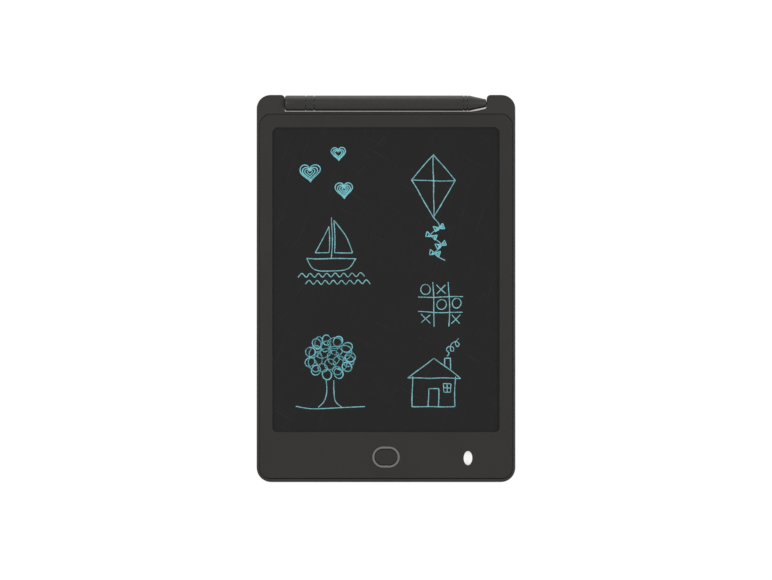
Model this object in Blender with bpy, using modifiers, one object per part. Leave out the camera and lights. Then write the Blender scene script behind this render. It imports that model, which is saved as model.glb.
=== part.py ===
# LCD writing tablet with a stylus in a bay along its top edge.
# The tablet lies on its back: X is its width, Y runs up the page, Z comes out of the screen.
# The origin is the middle of the rear face. All lengths are in metres.

import math

import bmesh
import bpy
from mathutils import Matrix

# Case, as it shows from the front
BODY_WIDTH = 0.1470
BODY_LENGTH = 0.2200
BODY_THICKNESS = 0.0070
TOP_CORNER_RADIUS = 0.00785
BOTTOM_CORNER_RADIUS = 0.0082
REAR_EDGE_RADIUS = 0.0014
FRONT_EDGE_RADIUS = 0.0007
EAR_WIDTH = 0.0160
EAR_CORNER_RADIUS = 0.0021

# Case walls
FLOOR = 0.0015
RIM_SIDE = 0.0015
RIM_BOTTOM = 0.00185
RIM_TOP = 0.00152
RIM_TOP_CORNER_RADIUS = 0.00525
RIM_BOTTOM_CORNER_RADIUS = 0.00615
LEDGE_WIDTH = 0.0016
LEDGE_HEIGHT = 0.0033
RIB_WALL = 0.0010
RIB_COLUMNS = 5
RIB_ROWS = 7

# Front bezel
BEZEL_GAP = 0.0003
BEZEL_THICKNESS = 0.0016
BEZEL_EDGE_RADIUS = 0.00035
SKIRT_WALL = 0.0010
SKIRT_INSET = 0.00025
WINDOW_FROM_SIDE = 0.0090
WINDOW_FROM_BAY = 0.00927
WINDOW_FROM_BOTTOM = 0.0285
WINDOW_CORNER_RADIUS = 0.0025
LIP_THICKNESS = 0.0008
HOOK_LENGTH = 0.0080
HOOK_REACH = 0.00085
HOOK_HEIGHT = 0.0008
HOOK_CATCH_HEIGHT = 0.0045
HOOK_CLEARANCE = 0.0003
SIDE_HOOK_SHARES = (-0.62, 0.0, 0.62)
END_HOOK_SHARES = (-0.55, 0.55)

# Screen stack
FILM_BORDER = 0.0032
FILM_CORNER_RADIUS = 0.0010
FILM_SIDE_GAP = 0.0004
STACK_GAP = 0.0001
TAPE_THICKNESS = 0.0002
TAPE_WIDTH = 0.0024
FILM_THICKNESS = 0.0005
BACKING_THICKNESS = 0.0003
SUPPORT_GAP = 0.0003
TAIL_STRIP_WIDTH = 0.0080
TAIL_STRIP_THICKNESS = 0.00015
TAIL_STRIP_FROM_RIGHT = 0.0180
TAIL_STRIP_BEND = 0.0018
TAIL_STRIP_FOOT = 0.0020
TAIL_STRIP_RELIEF = 0.0026

# Erase button, its ring and its switch
BUTTON_FROM_BOTTOM = 0.0142
RING_LENGTH = 0.01557
RING_WIDTH = 0.0120
RING_WALL = 0.00117
RING_PROUD = 0.00010
RING_FLANGE = 0.0011
RING_FLANGE_THICKNESS = 0.00035
RING_GAP = 0.0001
BUTTON_SIDE_GAP = 0.0003
BUTTON_RECESS = 0.00010
BUTTON_FLANGE = 0.0018
BUTTON_FLANGE_THICKNESS = 0.00045
BUTTON_FLANGE_GAP = 0.0001
BUTTON_TOP_THICKNESS = 0.0010
BUTTON_WALL = 0.0010
BUTTON_EDGE_RADIUS = 0.0004
BUTTON_STEM_RADIUS = 0.0013
BUTTON_TRAVEL = 0.0005
SWITCH_SIDE = 0.0045
SWITCH_HEIGHT = 0.0014
SWITCH_CORNER = 0.0006
PLUNGER_RADIUS = 0.0012
PLUNGER_SIDE_GAP = 0.00025
PLUNGER_PROUD = 0.00035
PLUNGER_SUNK = 0.00035
PLUNGER_STEM_GAP = 0.0001

# Circuit board
BOARD_FROM_DOOR = 0.0011
BOARD_LENGTH = 0.0535
BOARD_FROM_BOTTOM = 0.0040
BOARD_WIDTH = 0.0185
BOARD_THICKNESS = 0.0008
BOARD_HEIGHT = 0.0029
BOARD_CORNER_RADIUS = 0.0008
BOARD_SEAT_GAP = 0.0001
BOARD_SCREW_FROM_LEFT = 0.0061
BOARD_SCREW_FROM_RIGHT = 0.0035
BOARD_SCREW_EDGE = 0.0028
BOARD_BOSS_RADIUS = 0.0023
BOARD_BORE_DEPTH = 0.0011
SCREW_SHANK_RADIUS = 0.0009
SCREW_HEAD_RADIUS = 0.0017
SCREW_HEAD_HEIGHT = 0.0010
SCREW_TIP = 0.0003
SCREW_CLEARANCE = 0.00025
PART_GAP = 0.0001
CHIP_LENGTH = 0.0050
CHIP_WIDTH = 0.0039
CHIP_HEIGHT = 0.0013
CHIP_EDGE = 0.0002
CHIP_LEG_PITCH = 0.00127
CHIP_LEG_WIDTH = 0.00042
CHIP_LEG_REACH = 0.0011
CHIP_LEG_THICKNESS = 0.0002
CHIP_LEGS_A_SIDE = 4
CHIP_FROM_RIGHT = 0.0180
CHIP_UP = 0.0088
COIL_RADIUS = 0.0020
COIL_WAIST = 0.0014
COIL_HEIGHT = 0.0014
COIL_FLANGE = 0.0003
COIL_FROM_RIGHT = 0.0098
COIL_UP = 0.0135
TANK_LENGTH = 0.0035
TANK_WIDTH = 0.0028
TANK_HEIGHT = 0.0014
TANK_EDGE = 0.0002
TANK_FROM_RIGHT = 0.0098
TANK_UP = 0.0075
DIODE_LENGTH = 0.0035
DIODE_RADIUS = 0.0007
DIODE_CAP_RADIUS = 0.00075
DIODE_CAP_LENGTH = 0.0005
DIODE_FROM_RIGHT = 0.0042
DIODE_UP = 0.0105

# Lock slider on the back and the slide switch above it
LOCK_FROM_RIGHT = 0.0110
LOCK_FROM_BOTTOM = 0.0135
LOCK_TRAVEL = 0.0025
LOCK_KNOB_LENGTH = 0.0050
LOCK_KNOB_WIDTH = 0.0026
LOCK_KNOB_SUNK = 0.0002
LOCK_SLOT_GAP = 0.00025
LOCK_RECESS_DEPTH = 0.0006
LOCK_RECESS_LENGTH = 0.0130
LOCK_RECESS_WIDTH = 0.0060
LOCK_WEB = 0.0005
LOCK_FLANGE_EDGE = 0.0011
LOCK_FLANGE_THICKNESS = 0.00045
LOCK_FLANGE_GAP = 0.0001
LOCK_POCKET_GAP = 0.0004
LOCK_GRIP_GROOVES = 3
LOCK_GRIP_PITCH = 0.0011
LOCK_GRIP_WIDTH = 0.0004
LOCK_GRIP_DEPTH = 0.00025
LEVER_LENGTH = 0.0013
LEVER_WIDTH = 0.0010
LEVER_GAP = 0.00015
LEVER_IN_SWITCH = 0.0004
SLIDE_SWITCH_LENGTH = 0.0070
SLIDE_SWITCH_WIDTH = 0.0027
SLIDE_SWITCH_HEIGHT = 0.0009
SLIDE_SWITCH_SLOT_DEPTH = 0.0006

# Coin cell, 20 mm across and 1.6 mm thick
CELL_RADIUS = 0.0100
CELL_THICKNESS = 0.0016
CELL_ALONG = -0.0360
CELL_FROM_BOTTOM = 0.0143
CELL_HEIGHT = 0.0018
CELL_CAN_WALL = 0.00022
CELL_SEAL_GAP = 0.0001
CELL_SEAL_WALL = 0.0005
CELL_CAN_DROP = 0.00025
CELL_CAP_STEP = 0.0007
CELL_SIDE_GAP = 0.0002
WELL_WALL = 0.0008
WELL_SIDE_GAP = 0.0002
WELL_FLAT_SHARE = 0.99
WELL_CEILING = 0.0007
WELL_HEADROOM = 0.0011
CONTACT_THICKNESS = 0.0002
CONTACT_WIDTH = 0.0030
CONTACT_SIDE = 0.0054
CONTACT_TOUCH_GAP = 0.0001
CONTACT_SLOT_GAP = 0.0003
CONTACT_SPRING_SHARES = ((-0.02, 0.16), (0.06, 0.0), (0.30, 0.80), (0.60, 0.86))
CONTACT_BEND = 0.0010
CONTACT_FOOT = 0.0030
SIDE_CONTACT_HEIGHT = 0.0008
SIDE_CONTACT_BASE = 0.0020
SIDE_CONTACT_HOOK = 0.0018

# Battery door
DOOR_LEFT_OF_CELL = 0.0024
DOOR_BESIDE_CELL = 0.0006
DOOR_CORNER_RADIUS = 0.0015
DOOR_SUNK = 0.0002
DOOR_THICKNESS = 0.0010
DOOR_GAP = 0.00025
DOOR_SEAT_GAP = 0.0002
DOOR_PAD_RADIUS = 0.0080
DOOR_PAD_HEIGHT = 0.0004
DOOR_EDGE_RADIUS = 0.0002
DOOR_GRIP_GROOVES = 3
DOOR_GRIP_PITCH = 0.0012
DOOR_GRIP_WIDTH = 0.0005
DOOR_GRIP_LENGTH = 0.0080
DOOR_GRIP_DEPTH = 0.0003
DOOR_GRIP_FROM_END = 0.0085
PAD_HEIGHT = 0.0024
PAD_MARGIN = 0.0014
TONGUE_LENGTH = 0.0016
TONGUE_WIDTH = 0.0050
TONGUE_THICKNESS = 0.0004
TONGUE_SPREAD = 0.0058
TONGUE_GAP = 0.00035
TONGUE_LIP = 0.0006
TONGUE_TILT_ROOM = 0.0009
DOOR_SCREW_FROM_CELL = 0.0044
DOOR_SCREW_FROM_END = 0.0030
DOOR_SCREW_HEAD_RADIUS = 0.0019
DOOR_SCREW_HEAD_HEIGHT = 0.0008
DOOR_SCREW_SUNK = 0.00015
DOOR_SCREW_LENGTH = 0.0032
DOOR_SCREW_SHANK_RADIUS = 0.0010
DOOR_SCREW_CLEARANCE = 0.0003
DOOR_SCREW_BOSS_RADIUS = 0.0028
DOOR_SCREW_BOSS_HEIGHT = 0.0050
DOOR_SCREW_DRIVE_LENGTH = 0.0022
DOOR_SCREW_DRIVE_WIDTH = 0.0005
DOOR_SCREW_DRIVE_DEPTH = 0.00045
DOOR_BOSS_RADIUS = 0.0026
DOOR_BOSS_HEIGHT = 0.0009
DOOR_BOSS_CLEARANCE = 0.0003

# Lanyard hole
LANYARD_ALONG = 0.0466
LANYARD_FROM_BOTTOM = 0.0136
LANYARD_WIDTH = 0.00493
LANYARD_LENGTH = 0.00807
LANYARD_WALL = 0.0011

# Stylus
STYLUS_RADIUS = 0.004395
STYLUS_WALL = 0.00122
STYLUS_REST_CLEARANCE = 0.000175
STYLUS_SIDE_GAP = 0.000275
STYLUS_TOP_INSET = 0.000165
STYLUS_END_GAP = 0.0003
STYLUS_GROOVE = 0.0003
STYLUS_EDGE = 0.00015
STYLUS_FIT = 0.00015
TAIL_CAP_LENGTH = 0.01145
TAIL_CAP_ROUND = 0.0012
TAIL_BAND_LENGTH = 0.0045
TAIL_SPIGOT = 0.0080
TAIL_BORE_RADIUS = 0.0019
TAIL_BORE_DEPTH = 0.0160
FRONT_RING_LENGTH = 0.0018
NOSE_LENGTH = 0.01075
NOSE_SHOULDER = 0.00495
NOSE_SHOULDER_RADIUS = 0.0034
NOSE_FRONT = 0.0046
NOSE_FRONT_RADIUS = 0.0024
NOSE_END_RADIUS = 0.0020
NOSE_SPIGOT = 0.0070
NOSE_BAY_GAP = 0.0006
NIB_RADIUS = 0.00095
NIB_LENGTH = 0.0105
NIB_REACH = 0.0031
NIB_TIP_RADIUS = 0.0005
NIB_FIT = 0.00025
NIB_SLOT_GAP = 0.00035

# Drawing of curves and cuts
OVERRUN = 0.0010
OVERLAP = 0.0002
MERGE = 0.000001
CORNER_STEPS = 9
SMALL_CORNER_STEPS = 4
OVAL_STEPS = 14
ROUND_STEPS = 32
CELL_STEPS = 40
STYLUS_STEPS = 36
FLAT_ANGLE = math.radians(0.2)
SHARP_ANGLE = math.radians(35.0)
QUARTER = math.pi / 2

# Places that follow from the sizes above
HALF_WIDTH = BODY_WIDTH / 2
HALF_LENGTH = BODY_LENGTH / 2
EAR_X = HALF_WIDTH - EAR_WIDTH
BAY_DEPTH = STYLUS_SIDE_GAP + 2 * STYLUS_RADIUS + STYLUS_TOP_INSET
BAY_Y = HALF_LENGTH - BAY_DEPTH
STYLUS_Y = BAY_Y + STYLUS_SIDE_GAP + STYLUS_RADIUS
STYLUS_Z = STYLUS_RADIUS + STYLUS_REST_CLEARANCE
STYLUS_TAIL_X = -EAR_X + STYLUS_END_GAP
BAND_START_X = STYLUS_TAIL_X + TAIL_CAP_LENGTH + STYLUS_GROOVE
BARREL_START_X = BAND_START_X + TAIL_BAND_LENGTH + STYLUS_GROOVE
NOSE_END_X = EAR_X - STYLUS_END_GAP
NOSE_START_X = NOSE_END_X - NOSE_LENGTH
RING_START_X = NOSE_START_X - STYLUS_GROOVE - FRONT_RING_LENGTH
BARREL_END_X = RING_START_X - STYLUS_GROOVE
NIB_END_X = EAR_X + NIB_REACH

RIM_X = HALF_WIDTH - RIM_SIDE
RIM_LOW_Y = -HALF_LENGTH + RIM_BOTTOM
RIM_HIGH_Y = BAY_Y - RIM_TOP
BEZEL_X = RIM_X - BEZEL_GAP
BEZEL_LOW_Y = RIM_LOW_Y + BEZEL_GAP
BEZEL_HIGH_Y = RIM_HIGH_Y - BEZEL_GAP
BEZEL_UNDER_Z = BODY_THICKNESS - BEZEL_THICKNESS
SKIRT_X = BEZEL_X - SKIRT_INSET
SKIRT_LOW_Y = BEZEL_LOW_Y + SKIRT_INSET
SKIRT_HIGH_Y = BEZEL_HIGH_Y - SKIRT_INSET
SKIRT_LOW_Z = LEDGE_HEIGHT + SUPPORT_GAP

WINDOW_X = HALF_WIDTH - WINDOW_FROM_SIDE
WINDOW_LOW_Y = -HALF_LENGTH + WINDOW_FROM_BOTTOM
WINDOW_HIGH_Y = BAY_Y - WINDOW_FROM_BAY
FILM_X = WINDOW_X + FILM_BORDER
FILM_LOW_Y = WINDOW_LOW_Y - FILM_BORDER
FILM_HIGH_Y = WINDOW_HIGH_Y + FILM_BORDER
LIP_UNDER_Z = BODY_THICKNESS - LIP_THICKNESS
TAPE_HIGH_Z = LIP_UNDER_Z - STACK_GAP
TAPE_LOW_Z = TAPE_HIGH_Z - TAPE_THICKNESS
FILM_HIGH_Z = TAPE_LOW_Z - STACK_GAP
FILM_LOW_Z = FILM_HIGH_Z - FILM_THICKNESS
BACKING_HIGH_Z = FILM_LOW_Z - STACK_GAP
BACKING_LOW_Z = BACKING_HIGH_Z - BACKING_THICKNESS
RIB_HIGH_Z = BACKING_LOW_Z - SUPPORT_GAP

BUTTON_Y = -HALF_LENGTH + BUTTON_FROM_BOTTOM
RING_FLANGE_HIGH_Z = BEZEL_UNDER_Z - RING_GAP
RING_LOW_Z = RING_FLANGE_HIGH_Z - RING_FLANGE_THICKNESS
BUTTON_HIGH_Z = BODY_THICKNESS - BUTTON_RECESS
BUTTON_FLANGE_HIGH_Z = RING_LOW_Z - BUTTON_FLANGE_GAP
BUTTON_LOW_Z = BUTTON_FLANGE_HIGH_Z - BUTTON_FLANGE_THICKNESS
BUTTON_LENGTH = RING_LENGTH - 2 * RING_WALL - 2 * BUTTON_SIDE_GAP
BUTTON_WIDTH = RING_WIDTH - 2 * RING_WALL - 2 * BUTTON_SIDE_GAP
BUTTON_INSIDE_Z = BUTTON_HIGH_Z - BUTTON_TOP_THICKNESS

BOARD_LOW_Y = -HALF_LENGTH + BOARD_FROM_BOTTOM
BOARD_HIGH_Y = BOARD_LOW_Y + BOARD_WIDTH
BOARD_TOP_Z = BOARD_HEIGHT + BOARD_THICKNESS
BOARD_SCREW_Y = BOARD_LOW_Y + BOARD_SCREW_EDGE
PART_LOW_Z = BOARD_TOP_Z + PART_GAP
SWITCH_TOP_Z = PART_LOW_Z + SWITCH_HEIGHT
PLUNGER_TOP_Z = SWITCH_TOP_Z + PLUNGER_PROUD
PLUNGER_LOW_Z = SWITCH_TOP_Z - PLUNGER_SUNK

CELL_Y = -HALF_LENGTH + CELL_FROM_BOTTOM
CELL_TOP_Z = CELL_HEIGHT + CELL_THICKNESS
WELL_INSIDE_Z = CELL_TOP_Z + WELL_HEADROOM
WELL_BORE_RADIUS = CELL_RADIUS + CELL_SIDE_GAP
WELL_UP_LIMIT = FILM_LOW_Y - WELL_SIDE_GAP - CELL_Y
WELL_DOWN_LIMIT = CELL_Y - WELL_SIDE_GAP - SKIRT_LOW_Y - SKIRT_WALL
DOOR_SCREW_X = CELL_ALONG + CELL_RADIUS + DOOR_SCREW_FROM_CELL
DOOR_LEFT = CELL_ALONG - CELL_RADIUS - DOOR_LEFT_OF_CELL
DOOR_RIGHT = DOOR_SCREW_X + DOOR_SCREW_FROM_END
DOOR_LOW_Y = CELL_Y - CELL_RADIUS - DOOR_BESIDE_CELL
DOOR_HIGH_Y = CELL_Y + CELL_RADIUS + DOOR_BESIDE_CELL
DOOR_HIGH_Z = DOOR_SUNK + DOOR_THICKNESS
DOOR_POCKET_Z = DOOR_HIGH_Z + DOOR_SEAT_GAP
DOOR_SCREW_LOW_Z = DOOR_SUNK + DOOR_SCREW_SUNK
DOOR_SCREW_SHOULDER_Z = DOOR_SCREW_LOW_Z + DOOR_SCREW_HEAD_HEIGHT
DOOR_SCREW_TIP_Z = DOOR_SCREW_SHOULDER_Z + DOOR_SCREW_LENGTH

BOARD_LEFT = DOOR_RIGHT + BOARD_FROM_DOOR
BOARD_RIGHT = BOARD_LEFT + BOARD_LENGTH
BOARD_SCREW_LEFT = BOARD_LEFT + BOARD_SCREW_FROM_LEFT
BOARD_SCREW_RIGHT = BOARD_RIGHT - BOARD_SCREW_FROM_RIGHT
CHIP_ALONG = BOARD_RIGHT - CHIP_FROM_RIGHT
COIL_ALONG = BOARD_RIGHT - COIL_FROM_RIGHT
TANK_ALONG = BOARD_RIGHT - TANK_FROM_RIGHT
DIODE_ALONG = BOARD_RIGHT - DIODE_FROM_RIGHT
TAIL_STRIP_ALONG = BOARD_RIGHT - TAIL_STRIP_FROM_RIGHT

LOCK_ALONG = BOARD_RIGHT - LOCK_FROM_RIGHT
LOCK_Y = -HALF_LENGTH + LOCK_FROM_BOTTOM
LOCK_REST_X = LOCK_ALONG - LOCK_TRAVEL / 2
LOCK_WEB_HIGH_Z = LOCK_RECESS_DEPTH + LOCK_WEB
LOCK_FLANGE_LOW_Z = LOCK_WEB_HIGH_Z + LOCK_FLANGE_GAP
LOCK_FLANGE_HIGH_Z = LOCK_FLANGE_LOW_Z + LOCK_FLANGE_THICKNESS
SLIDE_SWITCH_HIGH_Z = BOARD_HEIGHT - PART_GAP
SLIDE_SWITCH_LOW_Z = SLIDE_SWITCH_HIGH_Z - SLIDE_SWITCH_HEIGHT

LANYARD_Y = -HALF_LENGTH + LANYARD_FROM_BOTTOM


def clear_scene():
    for old in list(bpy.data.objects):
        bpy.data.objects.remove(old, do_unlink=True)


def new_collection(name):
    collection = bpy.data.collections.new(name)
    bpy.context.scene.collection.children.link(collection)
    return collection


def plastic(name, red, green, blue, roughness, metallic=0.0):
    material = bpy.data.materials.new(name)
    material.use_nodes = True
    shader = material.node_tree.nodes["Principled BSDF"]
    shader.inputs["Base Color"].default_value = (red, green, blue, 1.0)
    shader.inputs["Roughness"].default_value = roughness
    shader.inputs["Metallic"].default_value = metallic
    return material


def shade(obj):
    obj.data.shade_smooth()
    obj.data.set_sharp_from_angle(angle=SHARP_ANGLE)


def as_piece(obj, material):
    obj.data.materials.clear()
    obj.data.materials.append(material)
    pieces.objects.link(obj)
    return obj


def as_tool(obj):
    obj.hide_render = True
    obj.display_type = "WIRE"
    tools.objects.link(obj)
    return obj


def cut(target, tool):
    modifier = target.modifiers.new("cut " + tool.name, "BOOLEAN")
    modifier.operation = "DIFFERENCE"
    modifier.object = as_tool(tool)


def join(target, tool):
    modifier = target.modifiers.new("join " + tool.name, "BOOLEAN")
    modifier.operation = "UNION"
    modifier.object = as_tool(tool)


def arc(centre_x, centre_y, radius, start, end, steps):
    """Points of an arc, from the angle start to the angle end, both included."""
    angles = [start + (end - start) * i / steps for i in range(steps + 1)]
    return [
        (centre_x + radius * math.cos(a), centre_y + radius * math.sin(a))
        for a in angles
    ]


def circle(centre_x, centre_y, radius, steps=ROUND_STEPS):
    return arc(centre_x, centre_y, radius, 0, 2 * math.pi, steps)[:-1]


def ellipse(centre_x, centre_y, width, length, steps=ROUND_STEPS):
    return [
        (centre_x + width / 2 * x, centre_y + length / 2 * y)
        for x, y in circle(0, 0, 1, steps)
    ]


def obround(centre_x, centre_y, length, width, steps=OVAL_STEPS):
    """A straight slot's outline, with round ends, lying along X."""
    radius = width / 2
    reach = length / 2 - radius
    right = arc(centre_x + reach, centre_y, radius, -QUARTER, QUARTER, steps)
    left = arc(centre_x - reach, centre_y, radius, QUARTER, 3 * QUARTER, steps)
    return right + left


def rounded(low_x, high_x, low_y, high_y, low_radius, high_radius, steps):
    """A rectangle's outline with one radius for its low corners and one for its high ones."""
    return (
        arc(high_x - low_radius, low_y + low_radius, low_radius, -QUARTER, 0, steps)
        + arc(high_x - high_radius, high_y - high_radius, high_radius, 0, QUARTER, steps)
        + arc(low_x + high_radius, high_y - high_radius, high_radius, QUARTER, math.pi, steps)
        + arc(low_x + low_radius, low_y + low_radius, low_radius, math.pi, 3 * QUARTER, steps)
    )


def ribbon_outline(points, thickness):
    """The outline of a strip that follows points, with half its thickness on each side."""
    left, right = [], []
    for i, (x, y) in enumerate(points):
        before = points[max(i - 1, 0)]
        after = points[min(i + 1, len(points) - 1)]
        along_x, along_y = after[0] - before[0], after[1] - before[1]
        half = thickness / 2 / math.hypot(along_x, along_y)
        left.append((x - along_y * half, y + along_x * half))
        right.append((x + along_y * half, y - along_x * half))
    return left + right[::-1]


def prism(name, outlines, low, high):
    """A flat outline, with its holes, made solid between two heights."""
    curve = bpy.data.curves.new(name, "CURVE")
    curve.dimensions = "2D"
    curve.fill_mode = "BOTH"
    curve.extrude = (high - low) / 2
    for outline in outlines:
        spline = curve.splines.new("POLY")
        spline.points.add(len(outline) - 1)
        for point, (x, y) in zip(spline.points, outline):
            point.co = (x, y, 0, 1)
        spline.use_cyclic_u = True
    sketch = bpy.data.objects.new(name, curve)
    bpy.context.scene.collection.objects.link(sketch)
    graph = bpy.context.evaluated_depsgraph_get()
    mesh = bpy.data.meshes.new_from_object(sketch.evaluated_get(graph))
    bpy.data.objects.remove(sketch, do_unlink=True)
    bpy.data.curves.remove(curve)
    mesh.name = name
    form = bmesh.new()
    form.from_mesh(mesh)
    bmesh.ops.remove_doubles(form, verts=form.verts, dist=MERGE)
    bmesh.ops.dissolve_limit(
        form, angle_limit=FLAT_ANGLE, verts=form.verts, edges=form.edges
    )
    bmesh.ops.recalc_face_normals(form, faces=form.faces)
    form.to_mesh(mesh)
    form.free()
    mesh.transform(Matrix.Translation((0, 0, (high + low) / 2)))
    return bpy.data.objects.new(name, mesh)


def prism_along_x(name, outlines, low, high):
    """The same with the outline in the YZ plane."""
    obj = prism(name, outlines, low, high)
    turn = Matrix(((0, 0, 1, 0), (1, 0, 0, 0), (0, 1, 0, 0), (0, 0, 0, 1)))
    obj.data.transform(turn)
    return obj


def prism_along_y(name, outlines, low, high):
    """The same with the outline in the XZ plane."""
    obj = prism(name, outlines, low, high)
    turn = Matrix(((1, 0, 0, 0), (0, 0, 1, 0), (0, 1, 0, 0), (0, 0, 0, 1)))
    obj.data.transform(turn)
    obj.data.flip_normals()
    return obj


def block(name, low_x, high_x, low_y, high_y, low_z, high_z):
    form = bmesh.new()
    bmesh.ops.create_cube(form, size=1)
    size = Matrix.Diagonal((high_x - low_x, high_y - low_y, high_z - low_z, 1))
    centre = ((low_x + high_x) / 2, (low_y + high_y) / 2, (low_z + high_z) / 2)
    bmesh.ops.transform(form, matrix=Matrix.Translation(centre) @ size, verts=form.verts)
    mesh = bpy.data.meshes.new(name)
    form.to_mesh(mesh)
    form.free()
    return bpy.data.objects.new(name, mesh)


def cylinder(name, x, y, radius, low, high, steps=ROUND_STEPS):
    form = bmesh.new()
    bmesh.ops.create_cone(
        form, cap_ends=True, segments=steps, radius1=radius, radius2=radius, depth=high - low
    )
    place = Matrix.Translation((x, y, (low + high) / 2))
    bmesh.ops.transform(form, matrix=place, verts=form.verts)
    mesh = bpy.data.meshes.new(name)
    form.to_mesh(mesh)
    form.free()
    return bpy.data.objects.new(name, mesh)


def turned(name, section, steps, ring=False):
    """A section of (radius, height) points turned about Z, from the top down its outer side."""
    mesh = bpy.data.meshes.new(name)
    lines = [(i, i + 1) for i in range(len(section) - 1)]
    if ring:
        lines.append((len(section) - 1, 0))
    mesh.from_pydata([(radius, 0, height) for radius, height in section], lines, [])
    obj = bpy.data.objects.new(name, mesh)
    screw = obj.modifiers.new("turn", "SCREW")
    screw.axis = "Z"
    screw.steps = steps
    screw.render_steps = steps
    screw.use_merge_vertices = True
    screw.merge_threshold = MERGE
    screw.use_smooth_shade = True
    return obj


def round_edges(obj, radius, segments, weights):
    """Rounds the edges that lie at each height in weights, by radius times that weight."""
    mesh = obj.data
    layer = mesh.attributes.new("bevel_weight_edge", "FLOAT", "EDGE")
    for edge in mesh.edges:
        heights = [mesh.vertices[v].co.z for v in edge.vertices]
        for level, weight in weights:
            if max(abs(height - level) for height in heights) < MERGE:
                layer.data[edge.index].value = weight
    bevel = obj.modifiers.new("round edges", "BEVEL")
    bevel.limit_method = "WEIGHT"
    bevel.width = radius
    bevel.segments = segments
    bevel.use_clamp_overlap = False


def nose_radius(x):
    """The nose's radius at a place along X, on its straight tapers."""
    along = x - NOSE_START_X
    if along < NOSE_SHOULDER:
        part = along / NOSE_SHOULDER
        return STYLUS_RADIUS + (NOSE_SHOULDER_RADIUS - STYLUS_RADIUS) * part
    if along < NOSE_SHOULDER + NOSE_FRONT:
        part = (along - NOSE_SHOULDER) / NOSE_FRONT
        return NOSE_SHOULDER_RADIUS + (NOSE_FRONT_RADIUS - NOSE_SHOULDER_RADIUS) * part
    part = (along - NOSE_SHOULDER - NOSE_FRONT) / (NOSE_LENGTH - NOSE_SHOULDER - NOSE_FRONT)
    return NOSE_FRONT_RADIUS + (NOSE_END_RADIUS - NOSE_FRONT_RADIUS) * part


def case_outline():
    """The tablet's silhouette: round corners, and a bay in the top edge between two ears."""
    top, low_r = TOP_CORNER_RADIUS, BOTTOM_CORNER_RADIUS
    ear = EAR_CORNER_RADIUS
    points = arc(HALF_WIDTH - low_r, -HALF_LENGTH + low_r, low_r, -QUARTER, 0, CORNER_STEPS)
    points += arc(HALF_WIDTH - top, HALF_LENGTH - top, top, 0, QUARTER, CORNER_STEPS)
    points += arc(EAR_X + ear, HALF_LENGTH - ear, ear, QUARTER, math.pi, SMALL_CORNER_STEPS)
    shoulder_x = NOSE_START_X + NOSE_SHOULDER
    front_x = shoulder_x + NOSE_FRONT
    for x in (EAR_X, front_x, shoulder_x):
        points.append((x, STYLUS_Y - nose_radius(x) - NOSE_BAY_GAP))
    taper = (STYLUS_RADIUS - NOSE_SHOULDER_RADIUS) / NOSE_SHOULDER
    rise = NOSE_BAY_GAP - STYLUS_SIDE_GAP
    points.append((NOSE_START_X + rise / taper, BAY_Y))
    points.append((-EAR_X, BAY_Y))
    points += arc(-EAR_X - ear, HALF_LENGTH - ear, ear, 0, QUARTER, SMALL_CORNER_STEPS)
    points += arc(-HALF_WIDTH + top, HALF_LENGTH - top, top, QUARTER, math.pi, CORNER_STEPS)
    points += arc(
        -HALF_WIDTH + low_r, -HALF_LENGTH + low_r, low_r, math.pi, 3 * QUARTER, CORNER_STEPS
    )
    return points


def rim_outline(inset):
    """The rim's inner outline, drawn in by inset."""
    return rounded(
        -RIM_X + inset,
        RIM_X - inset,
        RIM_LOW_Y + inset,
        RIM_HIGH_Y - inset,
        RIM_BOTTOM_CORNER_RADIUS - inset,
        RIM_TOP_CORNER_RADIUS - inset,
        CORNER_STEPS,
    )


def window_outline(border):
    radius = WINDOW_CORNER_RADIUS if border == 0 else FILM_CORNER_RADIUS
    return rounded(
        -WINDOW_X - border,
        WINDOW_X + border,
        WINDOW_LOW_Y - border,
        WINDOW_HIGH_Y + border,
        radius,
        radius,
        SMALL_CORNER_STEPS,
    )


def lanyard_outline(wall):
    return ellipse(
        LANYARD_ALONG, LANYARD_Y, LANYARD_WIDTH + 2 * wall, LANYARD_LENGTH + 2 * wall
    )


def well_outline():
    """The battery well's outer wall: a circle cut flat where the screen and the rim are near."""
    radius = WELL_BORE_RADIUS + WELL_WALL
    high = math.asin(min(WELL_UP_LIMIT / radius, WELL_FLAT_SHARE))
    low = math.asin(min(WELL_DOWN_LIMIT / radius, WELL_FLAT_SHARE))
    right = arc(CELL_ALONG, CELL_Y, radius, -low, high, OVAL_STEPS)
    left = arc(CELL_ALONG, CELL_Y, radius, math.pi - high, math.pi + low, OVAL_STEPS)
    return right + left


def hook_places():
    """The middle of each snap hook: its side as a quarter turn, and its place along that side."""
    for share in SIDE_HOOK_SHARES:
        yield 0, share * HALF_LENGTH
        yield 2, share * HALF_LENGTH
    for share in END_HOOK_SHARES:
        yield 1, share * HALF_WIDTH
        yield 3, share * HALF_WIDTH


def hook_face(side):
    """How far out the skirt's and the rim's faces lie on a side."""
    if side == 1:
        return SKIRT_HIGH_Y, RIM_HIGH_Y
    if side == 3:
        return -SKIRT_LOW_Y, -RIM_LOW_Y
    return SKIRT_X, RIM_X


def turn_to_side(obj, side, along):
    """Puts a hook drawn on the +X side on another side, at its place along it."""
    shift = along if side in (0, 3) else -along
    turn = Matrix.Rotation(side * QUARTER, 4, "Z") @ Matrix.Translation((0, shift, 0))
    obj.data.transform(turn)
    return obj


def add_hooks(bezel):
    for number, (side, along) in enumerate(hook_places()):
        face, rim = hook_face(side)
        high = HOOK_CATCH_HEIGHT
        root = face - SKIRT_WALL / 2
        wedge = [(root, high - HOOK_HEIGHT), (face + HOOK_REACH, high), (root, high)]
        name = f"snap_hook_{number}"
        hook = prism_along_y(name, [wedge], -HOOK_LENGTH / 2, HOOK_LENGTH / 2)
        join(bezel, turn_to_side(hook, side, along))


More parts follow.
